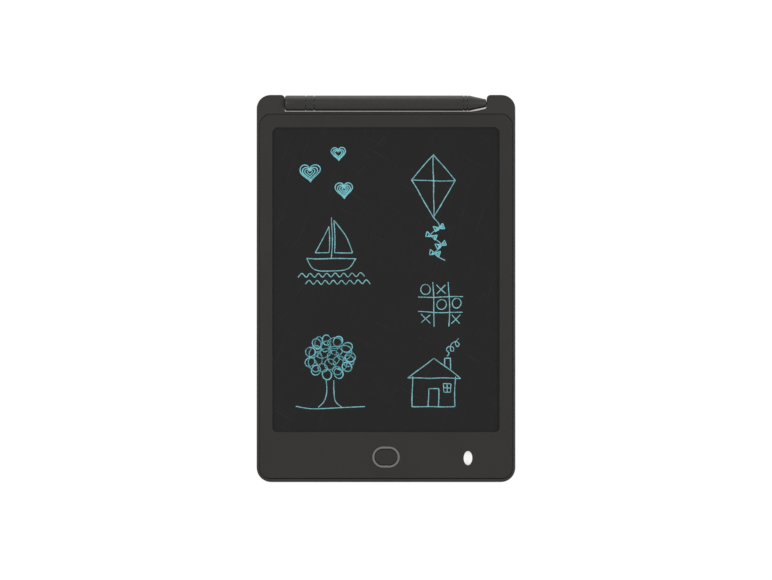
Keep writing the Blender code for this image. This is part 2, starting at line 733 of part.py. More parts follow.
def cut_hook_grooves(case):
    for number, (side, along) in enumerate(hook_places()):
        face, rim = hook_face(side)
        reach = face + HOOK_REACH + HOOK_CLEARANCE
        half = HOOK_LENGTH / 2 + HOOK_CLEARANCE
        low = HOOK_CATCH_HEIGHT - HOOK_HEIGHT - HOOK_CLEARANCE
        high = HOOK_CATCH_HEIGHT + HOOK_CLEARANCE
        groove = block(f"hook_groove_{number}", rim - OVERRUN, reach, -half, half, low, high)
        cut(case, turn_to_side(groove, side, along))


def add_ribs(case):
    low_z, high_z = FLOOR - OVERLAP, RIB_HIGH_Z
    for column in range(RIB_COLUMNS):
        x = FILM_X * (2 * (column + 1) / (RIB_COLUMNS + 1) - 1)
        name = f"rib_column_{column}"
        half = RIB_WALL / 2
        join(case, block(name, x - half, x + half, FILM_LOW_Y, FILM_HIGH_Y, low_z, high_z))
    for row in range(RIB_ROWS):
        y = FILM_LOW_Y + (FILM_HIGH_Y - FILM_LOW_Y) * (row + 1) / (RIB_ROWS + 1)
        name = f"rib_row_{row}"
        half = RIB_WALL / 2
        join(case, block(name, -FILM_X, FILM_X, y - half, y + half, low_z, high_z))


def add_battery_well(case):
    pad = block(
        "battery_pad",
        DOOR_LEFT - TONGUE_LENGTH - PAD_MARGIN,
        DOOR_RIGHT + PAD_MARGIN,
        DOOR_LOW_Y - PAD_MARGIN,
        DOOR_HIGH_Y + PAD_MARGIN,
        FLOOR - OVERLAP,
        PAD_HEIGHT,
    )
    join(case, pad)
    ceiling = WELL_INSIDE_Z + WELL_CEILING
    join(case, prism("battery_well", [well_outline()], FLOOR - OVERLAP, ceiling))
    boss = (DOOR_SCREW_X, CELL_Y, DOOR_SCREW_BOSS_RADIUS, FLOOR, DOOR_SCREW_BOSS_HEIGHT)
    join(case, cylinder("door_screw_boss", *boss))
    cut(case, prism("door_pocket", [door_outline(DOOR_GAP)], -OVERRUN, DOOR_POCKET_Z))
    bore = (CELL_ALONG, CELL_Y, WELL_BORE_RADIUS, FLOOR - OVERRUN, WELL_INSIDE_Z)
    cut(case, cylinder("cell_bore", *bore, steps=CELL_STEPS))
    seat_z = DOOR_HIGH_Z + DOOR_BOSS_HEIGHT + DOOR_SEAT_GAP
    seat = (DOOR_SCREW_X, CELL_Y, DOOR_BOSS_RADIUS + DOOR_BOSS_CLEARANCE, FLOOR - OVERRUN, seat_z)
    cut(case, cylinder("door_boss_seat", *seat))
    radius = DOOR_SCREW_SHANK_RADIUS + DOOR_SCREW_CLEARANCE
    depth = DOOR_SCREW_TIP_Z + DOOR_SCREW_CLEARANCE
    cut(case, cylinder("door_screw_bore", DOOR_SCREW_X, CELL_Y, radius, FLOOR, depth))
    for side in (-1, 1):
        y = CELL_Y + side * TONGUE_SPREAD
        half = TONGUE_WIDTH / 2 + TONGUE_GAP
        low_x = DOOR_LEFT - TONGUE_LENGTH - TONGUE_GAP
        high_x = DOOR_LEFT + TONGUE_TILT_ROOM
        name = f"tongue_window_{side + 1}"
        top = PAD_HEIGHT + OVERRUN
        cut(case, block(name, low_x, high_x, y - half, y + half, TONGUE_LIP, top))


def cut_contact_slots(case):
    half = CONTACT_WIDTH / 2 + CONTACT_SLOT_GAP
    well_x = CELL_ALONG + math.sqrt(WELL_BORE_RADIUS**2 - CONTACT_SIDE**2)
    high_y = CELL_Y + CONTACT_SIDE
    spring_slot = block(
        "spring_contact_slot",
        well_x - OVERRUN,
        well_x + WELL_WALL + 2 * OVERRUN,
        high_y - half,
        high_y + half,
        WELL_INSIDE_Z - WELL_HEADROOM,
        WELL_INSIDE_Z,
    )
    cut(case, spring_slot)
    low_y = CELL_Y - CONTACT_SIDE
    gap = CONTACT_SLOT_GAP
    side_slot = block(
        "side_contact_slot",
        well_x - 2 * OVERRUN,
        DOOR_RIGHT + PAD_MARGIN + OVERRUN,
        low_y - SIDE_CONTACT_HOOK / 2 - gap,
        low_y + SIDE_CONTACT_HOOK / 2 + gap,
        SIDE_CONTACT_BASE - CONTACT_TOUCH_GAP,
        SIDE_CONTACT_BASE + SIDE_CONTACT_HEIGHT + gap,
    )
    cut(case, side_slot)


def add_board_bosses(case):
    for side, x in (("left", BOARD_SCREW_LEFT), ("right", BOARD_SCREW_RIGHT)):
        top = BOARD_HEIGHT - BOARD_SEAT_GAP
        boss = (x, BOARD_SCREW_Y, BOARD_BOSS_RADIUS, FLOOR - OVERLAP, top)
        join(case, cylinder(f"board_boss_{side}", *boss))
        radius = SCREW_SHANK_RADIUS + SCREW_CLEARANCE
        bore = (x, BOARD_SCREW_Y, radius, top - BOARD_BORE_DEPTH, top + OVERRUN)
        cut(case, cylinder(f"board_bore_{side}", *bore))


def cut_lock_opening(case):
    recess = obround(LOCK_ALONG, LOCK_Y, LOCK_RECESS_LENGTH, LOCK_RECESS_WIDTH)
    cut(case, prism("lock_recess", [recess], -OVERRUN, LOCK_RECESS_DEPTH))
    slot_length = LOCK_KNOB_LENGTH + LOCK_TRAVEL + 2 * LOCK_SLOT_GAP
    slot_width = LOCK_KNOB_WIDTH + 2 * LOCK_SLOT_GAP
    slot = obround(LOCK_ALONG, LOCK_Y, slot_length, slot_width, SMALL_CORNER_STEPS)
    cut(case, prism("lock_slot", [slot], -OVERRUN, FLOOR + OVERRUN))
    half_x = slot_length / 2 + LOCK_FLANGE_EDGE + LOCK_POCKET_GAP
    half_y = slot_width / 2 + LOCK_FLANGE_EDGE + LOCK_POCKET_GAP
    thinned = block(
        "lock_flange_pocket",
        LOCK_ALONG - half_x,
        LOCK_ALONG + half_x,
        LOCK_Y - half_y,
        LOCK_Y + half_y,
        LOCK_WEB_HIGH_Z,
        FLOOR + OVERRUN,
    )
    cut(case, thinned)


def cut_nib_slot(case):
    """The nib's slot in the right ear, open to the top edge so that the stylus lifts out."""
    half = NIB_RADIUS + NIB_SLOT_GAP
    bottom = arc(STYLUS_Y, STYLUS_Z, half, QUARTER, 3 * QUARTER, SMALL_CORNER_STEPS)
    open_end = HALF_LENGTH + OVERRUN
    outline = bottom + [(open_end, STYLUS_Z - half), (open_end, STYLUS_Z + half)]
    reach = NIB_END_X + NIB_SLOT_GAP
    cut(case, prism_along_x("nib_slot", [outline], EAR_X - OVERRUN, reach))


def make_rear_case():
    case = prism("rear_case", [case_outline()], 0, BODY_THICKNESS)
    front_weight = FRONT_EDGE_RADIUS / REAR_EDGE_RADIUS
    round_edges(case, REAR_EDGE_RADIUS, 3, ((0, 1.0), (BODY_THICKNESS, front_weight)))
    top = BODY_THICKNESS + OVERRUN
    cut(case, prism("upper_cavity", [rim_outline(0)], LEDGE_HEIGHT, top))
    cut(case, prism("lower_cavity", [rim_outline(LEDGE_WIDTH)], FLOOR, LEDGE_HEIGHT + OVERLAP))
    add_ribs(case)
    add_battery_well(case)
    cut_contact_slots(case)
    add_board_bosses(case)
    cut_lock_opening(case)
    tube_top = BEZEL_UNDER_Z - BEZEL_GAP
    tube = prism("lanyard_tube", [lanyard_outline(LANYARD_WALL)], FLOOR - OVERLAP, tube_top)
    join(case, tube)
    cut(case, prism("lanyard_bore", [lanyard_outline(0)], -OVERRUN, top))
    cut_nib_slot(case)
    cut_hook_grooves(case)
    return as_piece(case, plastic("case_plastic", 0.040, 0.040, 0.038, 0.45))


def make_front_bezel():
    hole = obround(
        0, BUTTON_Y, RING_LENGTH + 2 * RING_GAP, RING_WIDTH + 2 * RING_GAP
    )
    outlines = [rim_outline(BEZEL_GAP), window_outline(0), hole, lanyard_outline(0)]
    bezel = prism("front_bezel", outlines, BEZEL_UNDER_Z, BODY_THICKNESS)
    round_edges(bezel, BEZEL_EDGE_RADIUS, 2, ((BODY_THICKNESS, 1.0),))
    skirt_inset = BEZEL_GAP + SKIRT_INSET
    ring = [rim_outline(skirt_inset), rim_outline(skirt_inset + SKIRT_WALL)]
    join(bezel, prism("skirt", ring, SKIRT_LOW_Z, BEZEL_UNDER_Z + OVERLAP))
    pocket = window_outline(FILM_BORDER + FILM_SIDE_GAP)
    cut(bezel, prism("film_pocket", [pocket], BEZEL_UNDER_Z - OVERRUN, LIP_UNDER_Z))
    half = TAIL_STRIP_WIDTH / 2 + FILM_SIDE_GAP
    relief = block(
        "film_tail_relief",
        TAIL_STRIP_ALONG - half,
        TAIL_STRIP_ALONG + half,
        FILM_LOW_Y - TAIL_STRIP_RELIEF,
        FILM_LOW_Y,
        BEZEL_UNDER_Z - OVERRUN,
        TAPE_HIGH_Z,
    )
    cut(bezel, relief)
    add_hooks(bezel)
    return as_piece(bezel, plastic("bezel_plastic", 0.041, 0.040, 0.037, 0.42))


def make_screen():
    border = FILM_BORDER
    film = prism("writing_film", [window_outline(border)], FILM_LOW_Z, FILM_HIGH_Z)
    as_piece(film, plastic("writing_film_laminate", 0.023, 0.023, 0.023, 0.22))
    backing = prism(
        "film_backing_sheet", [window_outline(border)], BACKING_LOW_Z, BACKING_HIGH_Z
    )
    as_piece(backing, plastic("black_backing", 0.010, 0.010, 0.010, 0.70))
    tape = prism(
        "film_tape_frame",
        [window_outline(border), window_outline(border - TAPE_WIDTH)],
        TAPE_LOW_Z,
        TAPE_HIGH_Z,
    )
    as_piece(tape, plastic("black_tape", 0.015, 0.015, 0.015, 0.80))


def make_film_tail():
    """The film's two-conductor tail: out of the film's lower edge and down onto the board."""
    film_z = (FILM_LOW_Z + FILM_HIGH_Z) / 2
    board_z = PART_LOW_Z + TAIL_STRIP_THICKNESS / 2
    start = FILM_LOW_Y - STACK_GAP
    bend_start = start - TAIL_STRIP_BEND
    bend_end = bend_start - TAIL_STRIP_BEND
    route = [(start, film_z)]
    for i in range(CORNER_STEPS + 1):
        part = i / CORNER_STEPS
        fall = (1 - math.cos(math.pi * part)) / 2
        y = bend_start + (bend_end - bend_start) * part
        route.append((y, film_z + (board_z - film_z) * fall))
    route.append((bend_end - TAIL_STRIP_FOOT, board_z))
    half = TAIL_STRIP_WIDTH / 2
    outline = ribbon_outline(route, TAIL_STRIP_THICKNESS)
    ends = (TAIL_STRIP_ALONG - half, TAIL_STRIP_ALONG + half)
    tail = prism_along_x("film_flex_tail", [outline], *ends)
    as_piece(tail, plastic("flex_amber", 0.42, 0.16, 0.03, 0.40))


def make_button_ring():
    inner = obround(0, BUTTON_Y, RING_LENGTH - 2 * RING_WALL, RING_WIDTH - 2 * RING_WALL)
    outer = obround(0, BUTTON_Y, RING_LENGTH, RING_WIDTH)
    top = BODY_THICKNESS + RING_PROUD
    ring = prism("button_ring", [outer, inner], RING_LOW_Z, top)
    round_edges(ring, RING_PROUD, 1, ((top, 1.0),))
    flange = obround(
        0, BUTTON_Y, RING_LENGTH + 2 * RING_FLANGE, RING_WIDTH + 2 * RING_FLANGE
    )
    edge = obround(
        0, BUTTON_Y, RING_LENGTH - RING_WALL, RING_WIDTH - RING_WALL
    )
    join(ring, prism("ring_flange", [flange, edge], RING_LOW_Z, RING_FLANGE_HIGH_Z))
    as_piece(ring, plastic("ring_grey", 0.19, 0.20, 0.19, 0.35))


def make_erase_button():
    cap = prism(
        "erase_button",
        [obround(0, BUTTON_Y, BUTTON_LENGTH, BUTTON_WIDTH)],
        BUTTON_LOW_Z,
        BUTTON_HIGH_Z,
    )
    round_edges(cap, BUTTON_EDGE_RADIUS, 3, ((BUTTON_HIGH_Z, 1.0),))
    flange = obround(
        0, BUTTON_Y, BUTTON_LENGTH + 2 * BUTTON_FLANGE, BUTTON_WIDTH + 2 * BUTTON_FLANGE
    )
    join(cap, prism("button_flange", [flange], BUTTON_LOW_Z, BUTTON_FLANGE_HIGH_Z))
    inside = obround(
        0, BUTTON_Y, BUTTON_LENGTH - 2 * BUTTON_WALL, BUTTON_WIDTH - 2 * BUTTON_WALL
    )
    cut(cap, prism("button_inside", [inside], BUTTON_LOW_Z - OVERRUN, BUTTON_INSIDE_Z))
    stem_low = PLUNGER_TOP_Z + PLUNGER_STEM_GAP
    stem = (0, BUTTON_Y, BUTTON_STEM_RADIUS, stem_low, BUTTON_INSIDE_Z + OVERLAP)
    join(cap, cylinder("button_stem", *stem))
    as_piece(cap, plastic("button_plastic", 0.043, 0.041, 0.037, 0.42))


def make_tact_switch():
    half = SWITCH_SIDE / 2
    outline = [
        (half * x + SWITCH_CORNER * dx, BUTTON_Y + half * y + SWITCH_CORNER * dy)
        for x, y, dx, dy in (
            (1, -1, -1, 0), (1, -1, 0, 1), (1, 1, 0, -1), (1, 1, -1, 0),
            (-1, 1, 1, 0), (-1, 1, 0, -1), (-1, -1, 0, 1), (-1, -1, 1, 0),
        )
    ]
    body = prism("tact_switch_body", [outline], PART_LOW_Z, SWITCH_TOP_Z)
    depth = PLUNGER_LOW_Z - BUTTON_TRAVEL - PART_GAP
    bore = (0, BUTTON_Y, PLUNGER_RADIUS + PLUNGER_SIDE_GAP, depth, SWITCH_TOP_Z + OVERRUN)
    cut(body, cylinder("plunger_bore", *bore))
    as_piece(body, plastic("switch_nylon", 0.02, 0.02, 0.02, 0.50))
    plunger = cylinder(
        "tact_switch_plunger", 0, 0, PLUNGER_RADIUS, 0, PLUNGER_TOP_Z - PLUNGER_LOW_Z
    )
    plunger.location = (0, BUTTON_Y, PLUNGER_LOW_Z)
    as_piece(plunger, plastic("plunger_nylon", 0.55, 0.53, 0.48, 0.50))


def make_board():
    outline = rounded(
        BOARD_LEFT,
        BOARD_RIGHT,
        BOARD_LOW_Y,
        BOARD_HIGH_Y,
        BOARD_CORNER_RADIUS,
        BOARD_CORNER_RADIUS,
        SMALL_CORNER_STEPS,
    )
    radius = SCREW_SHANK_RADIUS + SCREW_CLEARANCE
    holes = [
        circle(x, BOARD_SCREW_Y, radius) for x in (BOARD_SCREW_LEFT, BOARD_SCREW_RIGHT)
    ]
    board = prism("circuit_board", [outline] + holes, BOARD_HEIGHT, BOARD_TOP_Z)
    as_piece(board, plastic("board_green", 0.02, 0.14, 0.05, 0.45))


def make_board_screw(side, x):
    head_low = PART_LOW_Z
    tip = BOARD_HEIGHT - BOARD_SEAT_GAP - BOARD_BORE_DEPTH + SCREW_CLEARANCE
    section = [
        (0, head_low + SCREW_HEAD_HEIGHT),
        (SCREW_HEAD_RADIUS - SCREW_TIP, head_low + SCREW_HEAD_HEIGHT),
        (SCREW_HEAD_RADIUS, head_low + SCREW_HEAD_HEIGHT - SCREW_TIP),
        (SCREW_HEAD_RADIUS, head_low),
        (SCREW_SHANK_RADIUS, head_low),
        (SCREW_SHANK_RADIUS, tip + SCREW_TIP),
        (SCREW_SHANK_RADIUS - SCREW_TIP, tip),
        (0, tip),
    ]
    screw = turned(f"board_screw_{side}", section, ROUND_STEPS // 2)
    screw.location = (x, BOARD_SCREW_Y, 0)
    as_piece(screw, plastic("screw_steel", 0.45, 0.45, 0.46, 0.35, 1.0))


def make_driver_chip():
    y = BOARD_LOW_Y + CHIP_UP
    half_x, half_y = CHIP_LENGTH / 2, CHIP_WIDTH / 2
    low, high = PART_LOW_Z + PART_GAP, PART_LOW_Z + PART_GAP + CHIP_HEIGHT
    chip = block(
        "driver_chip", CHIP_ALONG - half_x, CHIP_ALONG + half_x, y - half_y, y + half_y, low, high
    )
    round_edges(chip, CHIP_EDGE, 1, ((low, 1.0), (high, 1.0)))
    middle = (low + high) / 2
    foot_z = PART_LOW_Z + CHIP_LEG_THICKNESS / 2
    for side in (-1, 1):
        root = y + side * (half_y - CHIP_LEG_REACH / 2)
        knee = y + side * (half_y + CHIP_LEG_REACH / 3)
        toe = y + side * (half_y + CHIP_LEG_REACH)
        heel = y + side * (half_y + CHIP_LEG_REACH / 2)
        leg_route = [(root, middle), (knee, middle), (heel, foot_z), (toe, foot_z)]
        for number in range(CHIP_LEGS_A_SIDE):
            x = CHIP_ALONG + (number - (CHIP_LEGS_A_SIDE - 1) / 2) * CHIP_LEG_PITCH
            outline = ribbon_outline(leg_route, CHIP_LEG_THICKNESS)
            ends = (x - CHIP_LEG_WIDTH / 2, x + CHIP_LEG_WIDTH / 2)
            join(chip, prism_along_x(f"chip_leg_{side + 1}_{number}", [outline], *ends))
    as_piece(chip, plastic("chip_epoxy", 0.012, 0.012, 0.013, 0.55))


def make_power_parts():
    low = PART_LOW_Z
    section = [
        (0, COIL_HEIGHT),
        (COIL_RADIUS, COIL_HEIGHT),
        (COIL_RADIUS, COIL_HEIGHT - COIL_FLANGE),
        (COIL_WAIST, COIL_HEIGHT - COIL_FLANGE),
        (COIL_WAIST, COIL_FLANGE),
        (COIL_RADIUS, COIL_FLANGE),
        (COIL_RADIUS, 0),
        (0, 0),
    ]
    coil = turned("boost_inductor", section, ROUND_STEPS // 2)
    coil.location = (COIL_ALONG, BOARD_LOW_Y + COIL_UP, low)
    as_piece(coil, plastic("ferrite", 0.03, 0.03, 0.03, 0.60))
    y = BOARD_LOW_Y + TANK_UP
    tank = block(
        "tank_capacitor",
        TANK_ALONG - TANK_LENGTH / 2,
        TANK_ALONG + TANK_LENGTH / 2,
        y - TANK_WIDTH / 2,
        y + TANK_WIDTH / 2,
        low,
        low + TANK_HEIGHT,
    )
    round_edges(tank, TANK_EDGE, 1, ((low + TANK_HEIGHT, 1.0),))
    as_piece(tank, plastic("capacitor_ceramic", 0.38, 0.24, 0.12, 0.50))
    half = DIODE_LENGTH / 2
    section = [
        (0, half),
        (DIODE_CAP_RADIUS, half),
        (DIODE_CAP_RADIUS, half - DIODE_CAP_LENGTH),
        (DIODE_RADIUS, half - DIODE_CAP_LENGTH),
        (DIODE_RADIUS, DIODE_CAP_LENGTH - half),
        (DIODE_CAP_RADIUS, DIODE_CAP_LENGTH - half),
        (DIODE_CAP_RADIUS, -half),
        (0, -half),
    ]
    diode = turned("rectifier_diode", section, ROUND_STEPS // 2)
    diode.rotation_euler = (QUARTER, 0, 0)
    diode.location = (DIODE_ALONG, BOARD_LOW_Y + DIODE_UP, low + DIODE_CAP_RADIUS)
    as_piece(diode, plastic("diode_glass", 0.30, 0.08, 0.04, 0.25))


def make_lock():
    """The slide switch under the board, and the knob that moves its lever from the back."""
    half_x, half_y = SLIDE_SWITCH_LENGTH / 2, SLIDE_SWITCH_WIDTH / 2
    switch = block(
        "lock_switch_body",
        LOCK_ALONG - half_x,
        LOCK_ALONG + half_x,
        LOCK_Y - half_y,
        LOCK_Y + half_y,
        SLIDE_SWITCH_LOW_Z,
        SLIDE_SWITCH_HIGH_Z,
    )
    slot_x = (LEVER_LENGTH + LOCK_TRAVEL) / 2 + LOCK_SLOT_GAP
    slot_y = LEVER_WIDTH / 2 + LEVER_GAP
    slot = block(
        "lever_slot",
        LOCK_ALONG - slot_x,
        LOCK_ALONG + slot_x,
        LOCK_Y - slot_y,
        LOCK_Y + slot_y,
        SLIDE_SWITCH_LOW_Z - OVERRUN,
        SLIDE_SWITCH_LOW_Z + SLIDE_SWITCH_SLOT_DEPTH,
    )
    cut(switch, slot)
    as_piece(switch, plastic("slide_switch_steel", 0.50, 0.50, 0.50, 0.35, 1.0))
    lever = block(
        "lock_switch_lever",
        -LEVER_LENGTH / 2,
        LEVER_LENGTH / 2,
        -LEVER_WIDTH / 2,
        LEVER_WIDTH / 2,
        LOCK_FLANGE_LOW_Z,
        SLIDE_SWITCH_LOW_Z + LEVER_IN_SWITCH,
    )
    lever.location = (LOCK_REST_X, LOCK_Y, 0)
    as_piece(lever, plastic("lever_nylon", 0.02, 0.02, 0.02, 0.50))
    knob_outline = obround(0, 0, LOCK_KNOB_LENGTH, LOCK_KNOB_WIDTH, SMALL_CORNER_STEPS)
    knob = prism("lock_slider", [knob_outline], LOCK_KNOB_SUNK, LOCK_FLANGE_HIGH_Z)
    edge = 2 * LOCK_FLANGE_EDGE
    flange_length, flange_width = LOCK_KNOB_LENGTH + edge, LOCK_KNOB_WIDTH + edge
    flange = block(
        "lock_flange",
        -flange_length / 2,
        flange_length / 2,
        -flange_width / 2,
        flange_width / 2,
        LOCK_FLANGE_LOW_Z,
        LOCK_FLANGE_HIGH_Z,
    )
    join(knob, flange)
    pocket = block(
        "lever_pocket",
        -LEVER_LENGTH / 2 - LEVER_GAP,
        LEVER_LENGTH / 2 + LEVER_GAP,
        -LEVER_WIDTH / 2 - LEVER_GAP,
        LEVER_WIDTH / 2 + LEVER_GAP,
        LOCK_FLANGE_LOW_Z - LEVER_GAP,
        LOCK_FLANGE_HIGH_Z + OVERRUN,
    )
    cut(knob, pocket)
    for number in range(LOCK_GRIP_GROOVES):
        x = (number - (LOCK_GRIP_GROOVES - 1) / 2) * LOCK_GRIP_PITCH
        groove = block(
            f"lock_grip_{number}",
            x - LOCK_GRIP_WIDTH / 2,
            x + LOCK_GRIP_WIDTH / 2,
            -LOCK_KNOB_WIDTH,
            LOCK_KNOB_WIDTH,
            LOCK_KNOB_SUNK - OVERRUN,
            LOCK_KNOB_SUNK + LOCK_GRIP_DEPTH,
        )
        cut(knob, groove)
    for tool in list(knob.modifiers):
        tool.object.location = (LOCK_REST_X, LOCK_Y, 0)
    knob.location = (LOCK_REST_X, LOCK_Y, 0)
    as_piece(knob, plastic("slider_plastic", 0.035, 0.035, 0.034, 0.45))


def make_coin_cell():
    """A steel can crimped round a seal, and the cap that closes it from the front."""
    radius, wall = CELL_RADIUS, CELL_CAN_WALL
    can_top = CELL_THICKNESS - CELL_CAN_DROP
    can = turned(
        "coin_cell_can",
        [
            (0, wall),
            (radius - wall, wall),
            (radius - wall, can_top),
            (radius, can_top),
            (radius, wall),
            (radius - wall, 0),
            (0, 0),
        ],
        CELL_STEPS,
    )
    can.location = (CELL_ALONG, CELL_Y, CELL_HEIGHT)
    as_piece(can, plastic("cell_steel", 0.60, 0.60, 0.58, 0.28, 1.0))
    seal_outer = radius - wall - CELL_SEAL_GAP
    seal_inner = seal_outer - CELL_SEAL_WALL
    seal_low = wall + CELL_SEAL_GAP
    seal = turned(
        "coin_cell_seal",
        [
            (seal_inner, can_top),
            (seal_outer, can_top),
            (seal_outer, seal_low),
            (seal_inner, seal_low),
        ],
        CELL_STEPS,
        ring=True,
    )
    seal.location = can.location
    as_piece(seal, plastic("seal_nylon", 0.10, 0.10, 0.10, 0.60))
    cap_radius = seal_inner - CELL_SEAL_GAP
    shoulder = can_top - CELL_CAN_DROP
    cap = turned(
        "coin_cell_cap",
        [
            (0, CELL_THICKNESS),
            (cap_radius - CELL_CAP_STEP, CELL_THICKNESS),
            (cap_radius - CELL_CAP_STEP / 2, shoulder),
            (cap_radius, shoulder),
            (cap_radius, seal_low),
            (0, seal_low),
        ],
        CELL_STEPS,
    )
    cap.location = can.location
    as_piece(cap, plastic("cap_steel", 0.55, 0.55, 0.54, 0.30, 1.0))


def make_contacts():
    """The leaf that presses on the cell's cap, and the one that touches the can's side."""
    low = CELL_TOP_Z + CONTACT_TOUCH_GAP + CONTACT_THICKNESS / 2
    rise = WELL_HEADROOM - CONTACT_THICKNESS - 2 * CONTACT_TOUCH_GAP
    route = [
        (CELL_ALONG + along * 2 * CELL_RADIUS, low + up * rise)
        for along, up in CONTACT_SPRING_SHARES
    ]
    foot_z = PART_LOW_Z + CONTACT_THICKNESS / 2
    foot_x = BOARD_LEFT + CONTACT_BEND / 2
    route.append((BOARD_LEFT - CONTACT_BEND, route[-1][1]))
    route.append((foot_x, foot_z))
    route.append((foot_x + CONTACT_FOOT, foot_z))
    y = CELL_Y + CONTACT_SIDE
    outline = ribbon_outline(route, CONTACT_THICKNESS)
    ends = (y - CONTACT_WIDTH / 2, y + CONTACT_WIDTH / 2)
    spring = prism_along_y("negative_contact", [outline], *ends)
    as_piece(spring, plastic("contact_bronze", 0.62, 0.50, 0.30, 0.30, 1.0))
    touch = CELL_RADIUS + CONTACT_TOUCH_GAP + CONTACT_THICKNESS / 2
    angle = -math.asin(CONTACT_SIDE / CELL_RADIUS)
    touch_x = CELL_ALONG + touch * math.cos(angle)
    touch_y = CELL_Y + touch * math.sin(angle)
    hook = SIDE_CONTACT_HOOK / 2 - CONTACT_THICKNESS
    route = [
        (touch_x - hook * math.cos(-QUARTER / 2), touch_y - hook),
        (touch_x, touch_y),
        (touch_x + 2 * hook, CELL_Y - CONTACT_SIDE + hook / 2),
        (BOARD_LEFT + CONTACT_FOOT, CELL_Y - CONTACT_SIDE + hook / 2),
    ]
    leaf = prism(
        "positive_contact",
        [ribbon_outline(route, CONTACT_THICKNESS)],
        SIDE_CONTACT_BASE,
        SIDE_CONTACT_BASE + SIDE_CONTACT_HEIGHT,
    )
    as_piece(leaf, plastic("contact_nickel", 0.55, 0.53, 0.50, 0.30, 1.0))


def door_outline(gap):
    radius = DOOR_CORNER_RADIUS + gap
    return rounded(
        DOOR_LEFT - gap,
        DOOR_RIGHT + gap,
        DOOR_LOW_Y - gap,
        DOOR_HIGH_Y + gap,
        radius,
        radius,
        SMALL_CORNER_STEPS,
    )


def make_battery_door():
    door = prism("battery_door", [door_outline(0)], DOOR_SUNK, DOOR_HIGH_Z)
    round_edges(door, DOOR_EDGE_RADIUS, 1, ((DOOR_SUNK, 1.0),))
    pad_top = DOOR_HIGH_Z + DOOR_PAD_HEIGHT
    pad = (CELL_ALONG, CELL_Y, DOOR_PAD_RADIUS, DOOR_HIGH_Z - OVERLAP, pad_top)
    join(door, cylinder("door_pad", *pad))
    boss_top = DOOR_HIGH_Z + DOOR_BOSS_HEIGHT
    boss = (DOOR_SCREW_X, CELL_Y, DOOR_BOSS_RADIUS, DOOR_HIGH_Z - OVERLAP, boss_top)
    join(door, cylinder("door_boss", *boss))
    tongue_top = DOOR_HIGH_Z
    for side in (-1, 1):
        y = CELL_Y + side * TONGUE_SPREAD
        half = TONGUE_WIDTH / 2
        name = f"door_tongue_{side + 1}"
        inner = DOOR_LEFT + OVERRUN
        low = tongue_top - TONGUE_THICKNESS
        tip = DOOR_LEFT - TONGUE_LENGTH
        join(door, block(name, tip, inner, y - half, y + half, low, tongue_top))
    head = (
        DOOR_SCREW_X,
        CELL_Y,
        DOOR_SCREW_HEAD_RADIUS + SCREW_CLEARANCE,
        DOOR_SUNK - OVERRUN,
        DOOR_SCREW_SHOULDER_Z + PART_GAP,
    )
    cut(door, cylinder("door_screw_sink", *head))
    radius = DOOR_SCREW_SHANK_RADIUS + SCREW_CLEARANCE
    hole = (DOOR_SCREW_X, CELL_Y, radius, DOOR_SUNK, boss_top + OVERRUN)
    cut(door, cylinder("door_screw_hole", *hole))
    for number in range(DOOR_GRIP_GROOVES):
        x = DOOR_RIGHT - DOOR_GRIP_FROM_END - number * DOOR_GRIP_PITCH
        groove = block(
            f"door_grip_{number}",
            x - DOOR_GRIP_WIDTH / 2,
            x + DOOR_GRIP_WIDTH / 2,
            CELL_Y - DOOR_GRIP_LENGTH / 2,
            CELL_Y + DOOR_GRIP_LENGTH / 2,
            DOOR_SUNK - OVERRUN,
            DOOR_SUNK + DOOR_GRIP_DEPTH,
        )
        cut(door, groove)
    as_piece(door, plastic("door_plastic", 0.040, 0.040, 0.038, 0.45))


def make_door_screw():
    """The door's captive screw, with its head down, since it goes in from the back."""
    low, shoulder, tip = DOOR_SCREW_LOW_Z, DOOR_SCREW_SHOULDER_Z, DOOR_SCREW_TIP_Z
    head, shank = DOOR_SCREW_HEAD_RADIUS, DOOR_SCREW_SHANK_RADIUS
    section = [
        (0, tip),
        (shank - SCREW_TIP, tip),
        (shank, tip - SCREW_TIP),
        (shank, shoulder),
        (head, shoulder),
        (head, low + SCREW_TIP),
        (head - SCREW_TIP, low),
        (0, low),
    ]
    screw = turned("battery_door_screw", section, ROUND_STEPS)
    screw.location = (DOOR_SCREW_X, CELL_Y, 0)
    for name, long_x, long_y in (
        ("drive_across", DOOR_SCREW_DRIVE_LENGTH, DOOR_SCREW_DRIVE_WIDTH),
        ("drive_up", DOOR_SCREW_DRIVE_WIDTH, DOOR_SCREW_DRIVE_LENGTH),
    ):
        slot = block(
            name,
            DOOR_SCREW_X - long_x / 2,
            DOOR_SCREW_X + long_x / 2,
            CELL_Y - long_y / 2,
            CELL_Y + long_y / 2,
            low - OVERRUN,
            low + DOOR_SCREW_DRIVE_DEPTH,
        )
        cut(screw, slot)
    as_piece(screw, plastic("door_screw_steel", 0.20, 0.20, 0.21, 0.35, 1.0))


def stylus_piece(name, section, material, ring=False):
    """A turned piece of the stylus. Its section is (radius, X) points, from the nib's end."""
    obj = turned(name, section, STYLUS_STEPS, ring)
    obj.parent = stylus_axis
    obj.rotation_euler = (0, QUARTER, 0)
    return as_piece(obj, material)


def sleeve(start, end):
    """A tube's section between two places along X, with its outer edges broken."""
    outer, edge = STYLUS_RADIUS, STYLUS_EDGE
    inner = STYLUS_RADIUS - STYLUS_WALL
    return [
        (inner, end),
        (outer - edge, end),
        (outer, end - edge),
        (outer, start + edge),
        (outer - edge, start),
        (inner, start),
    ]


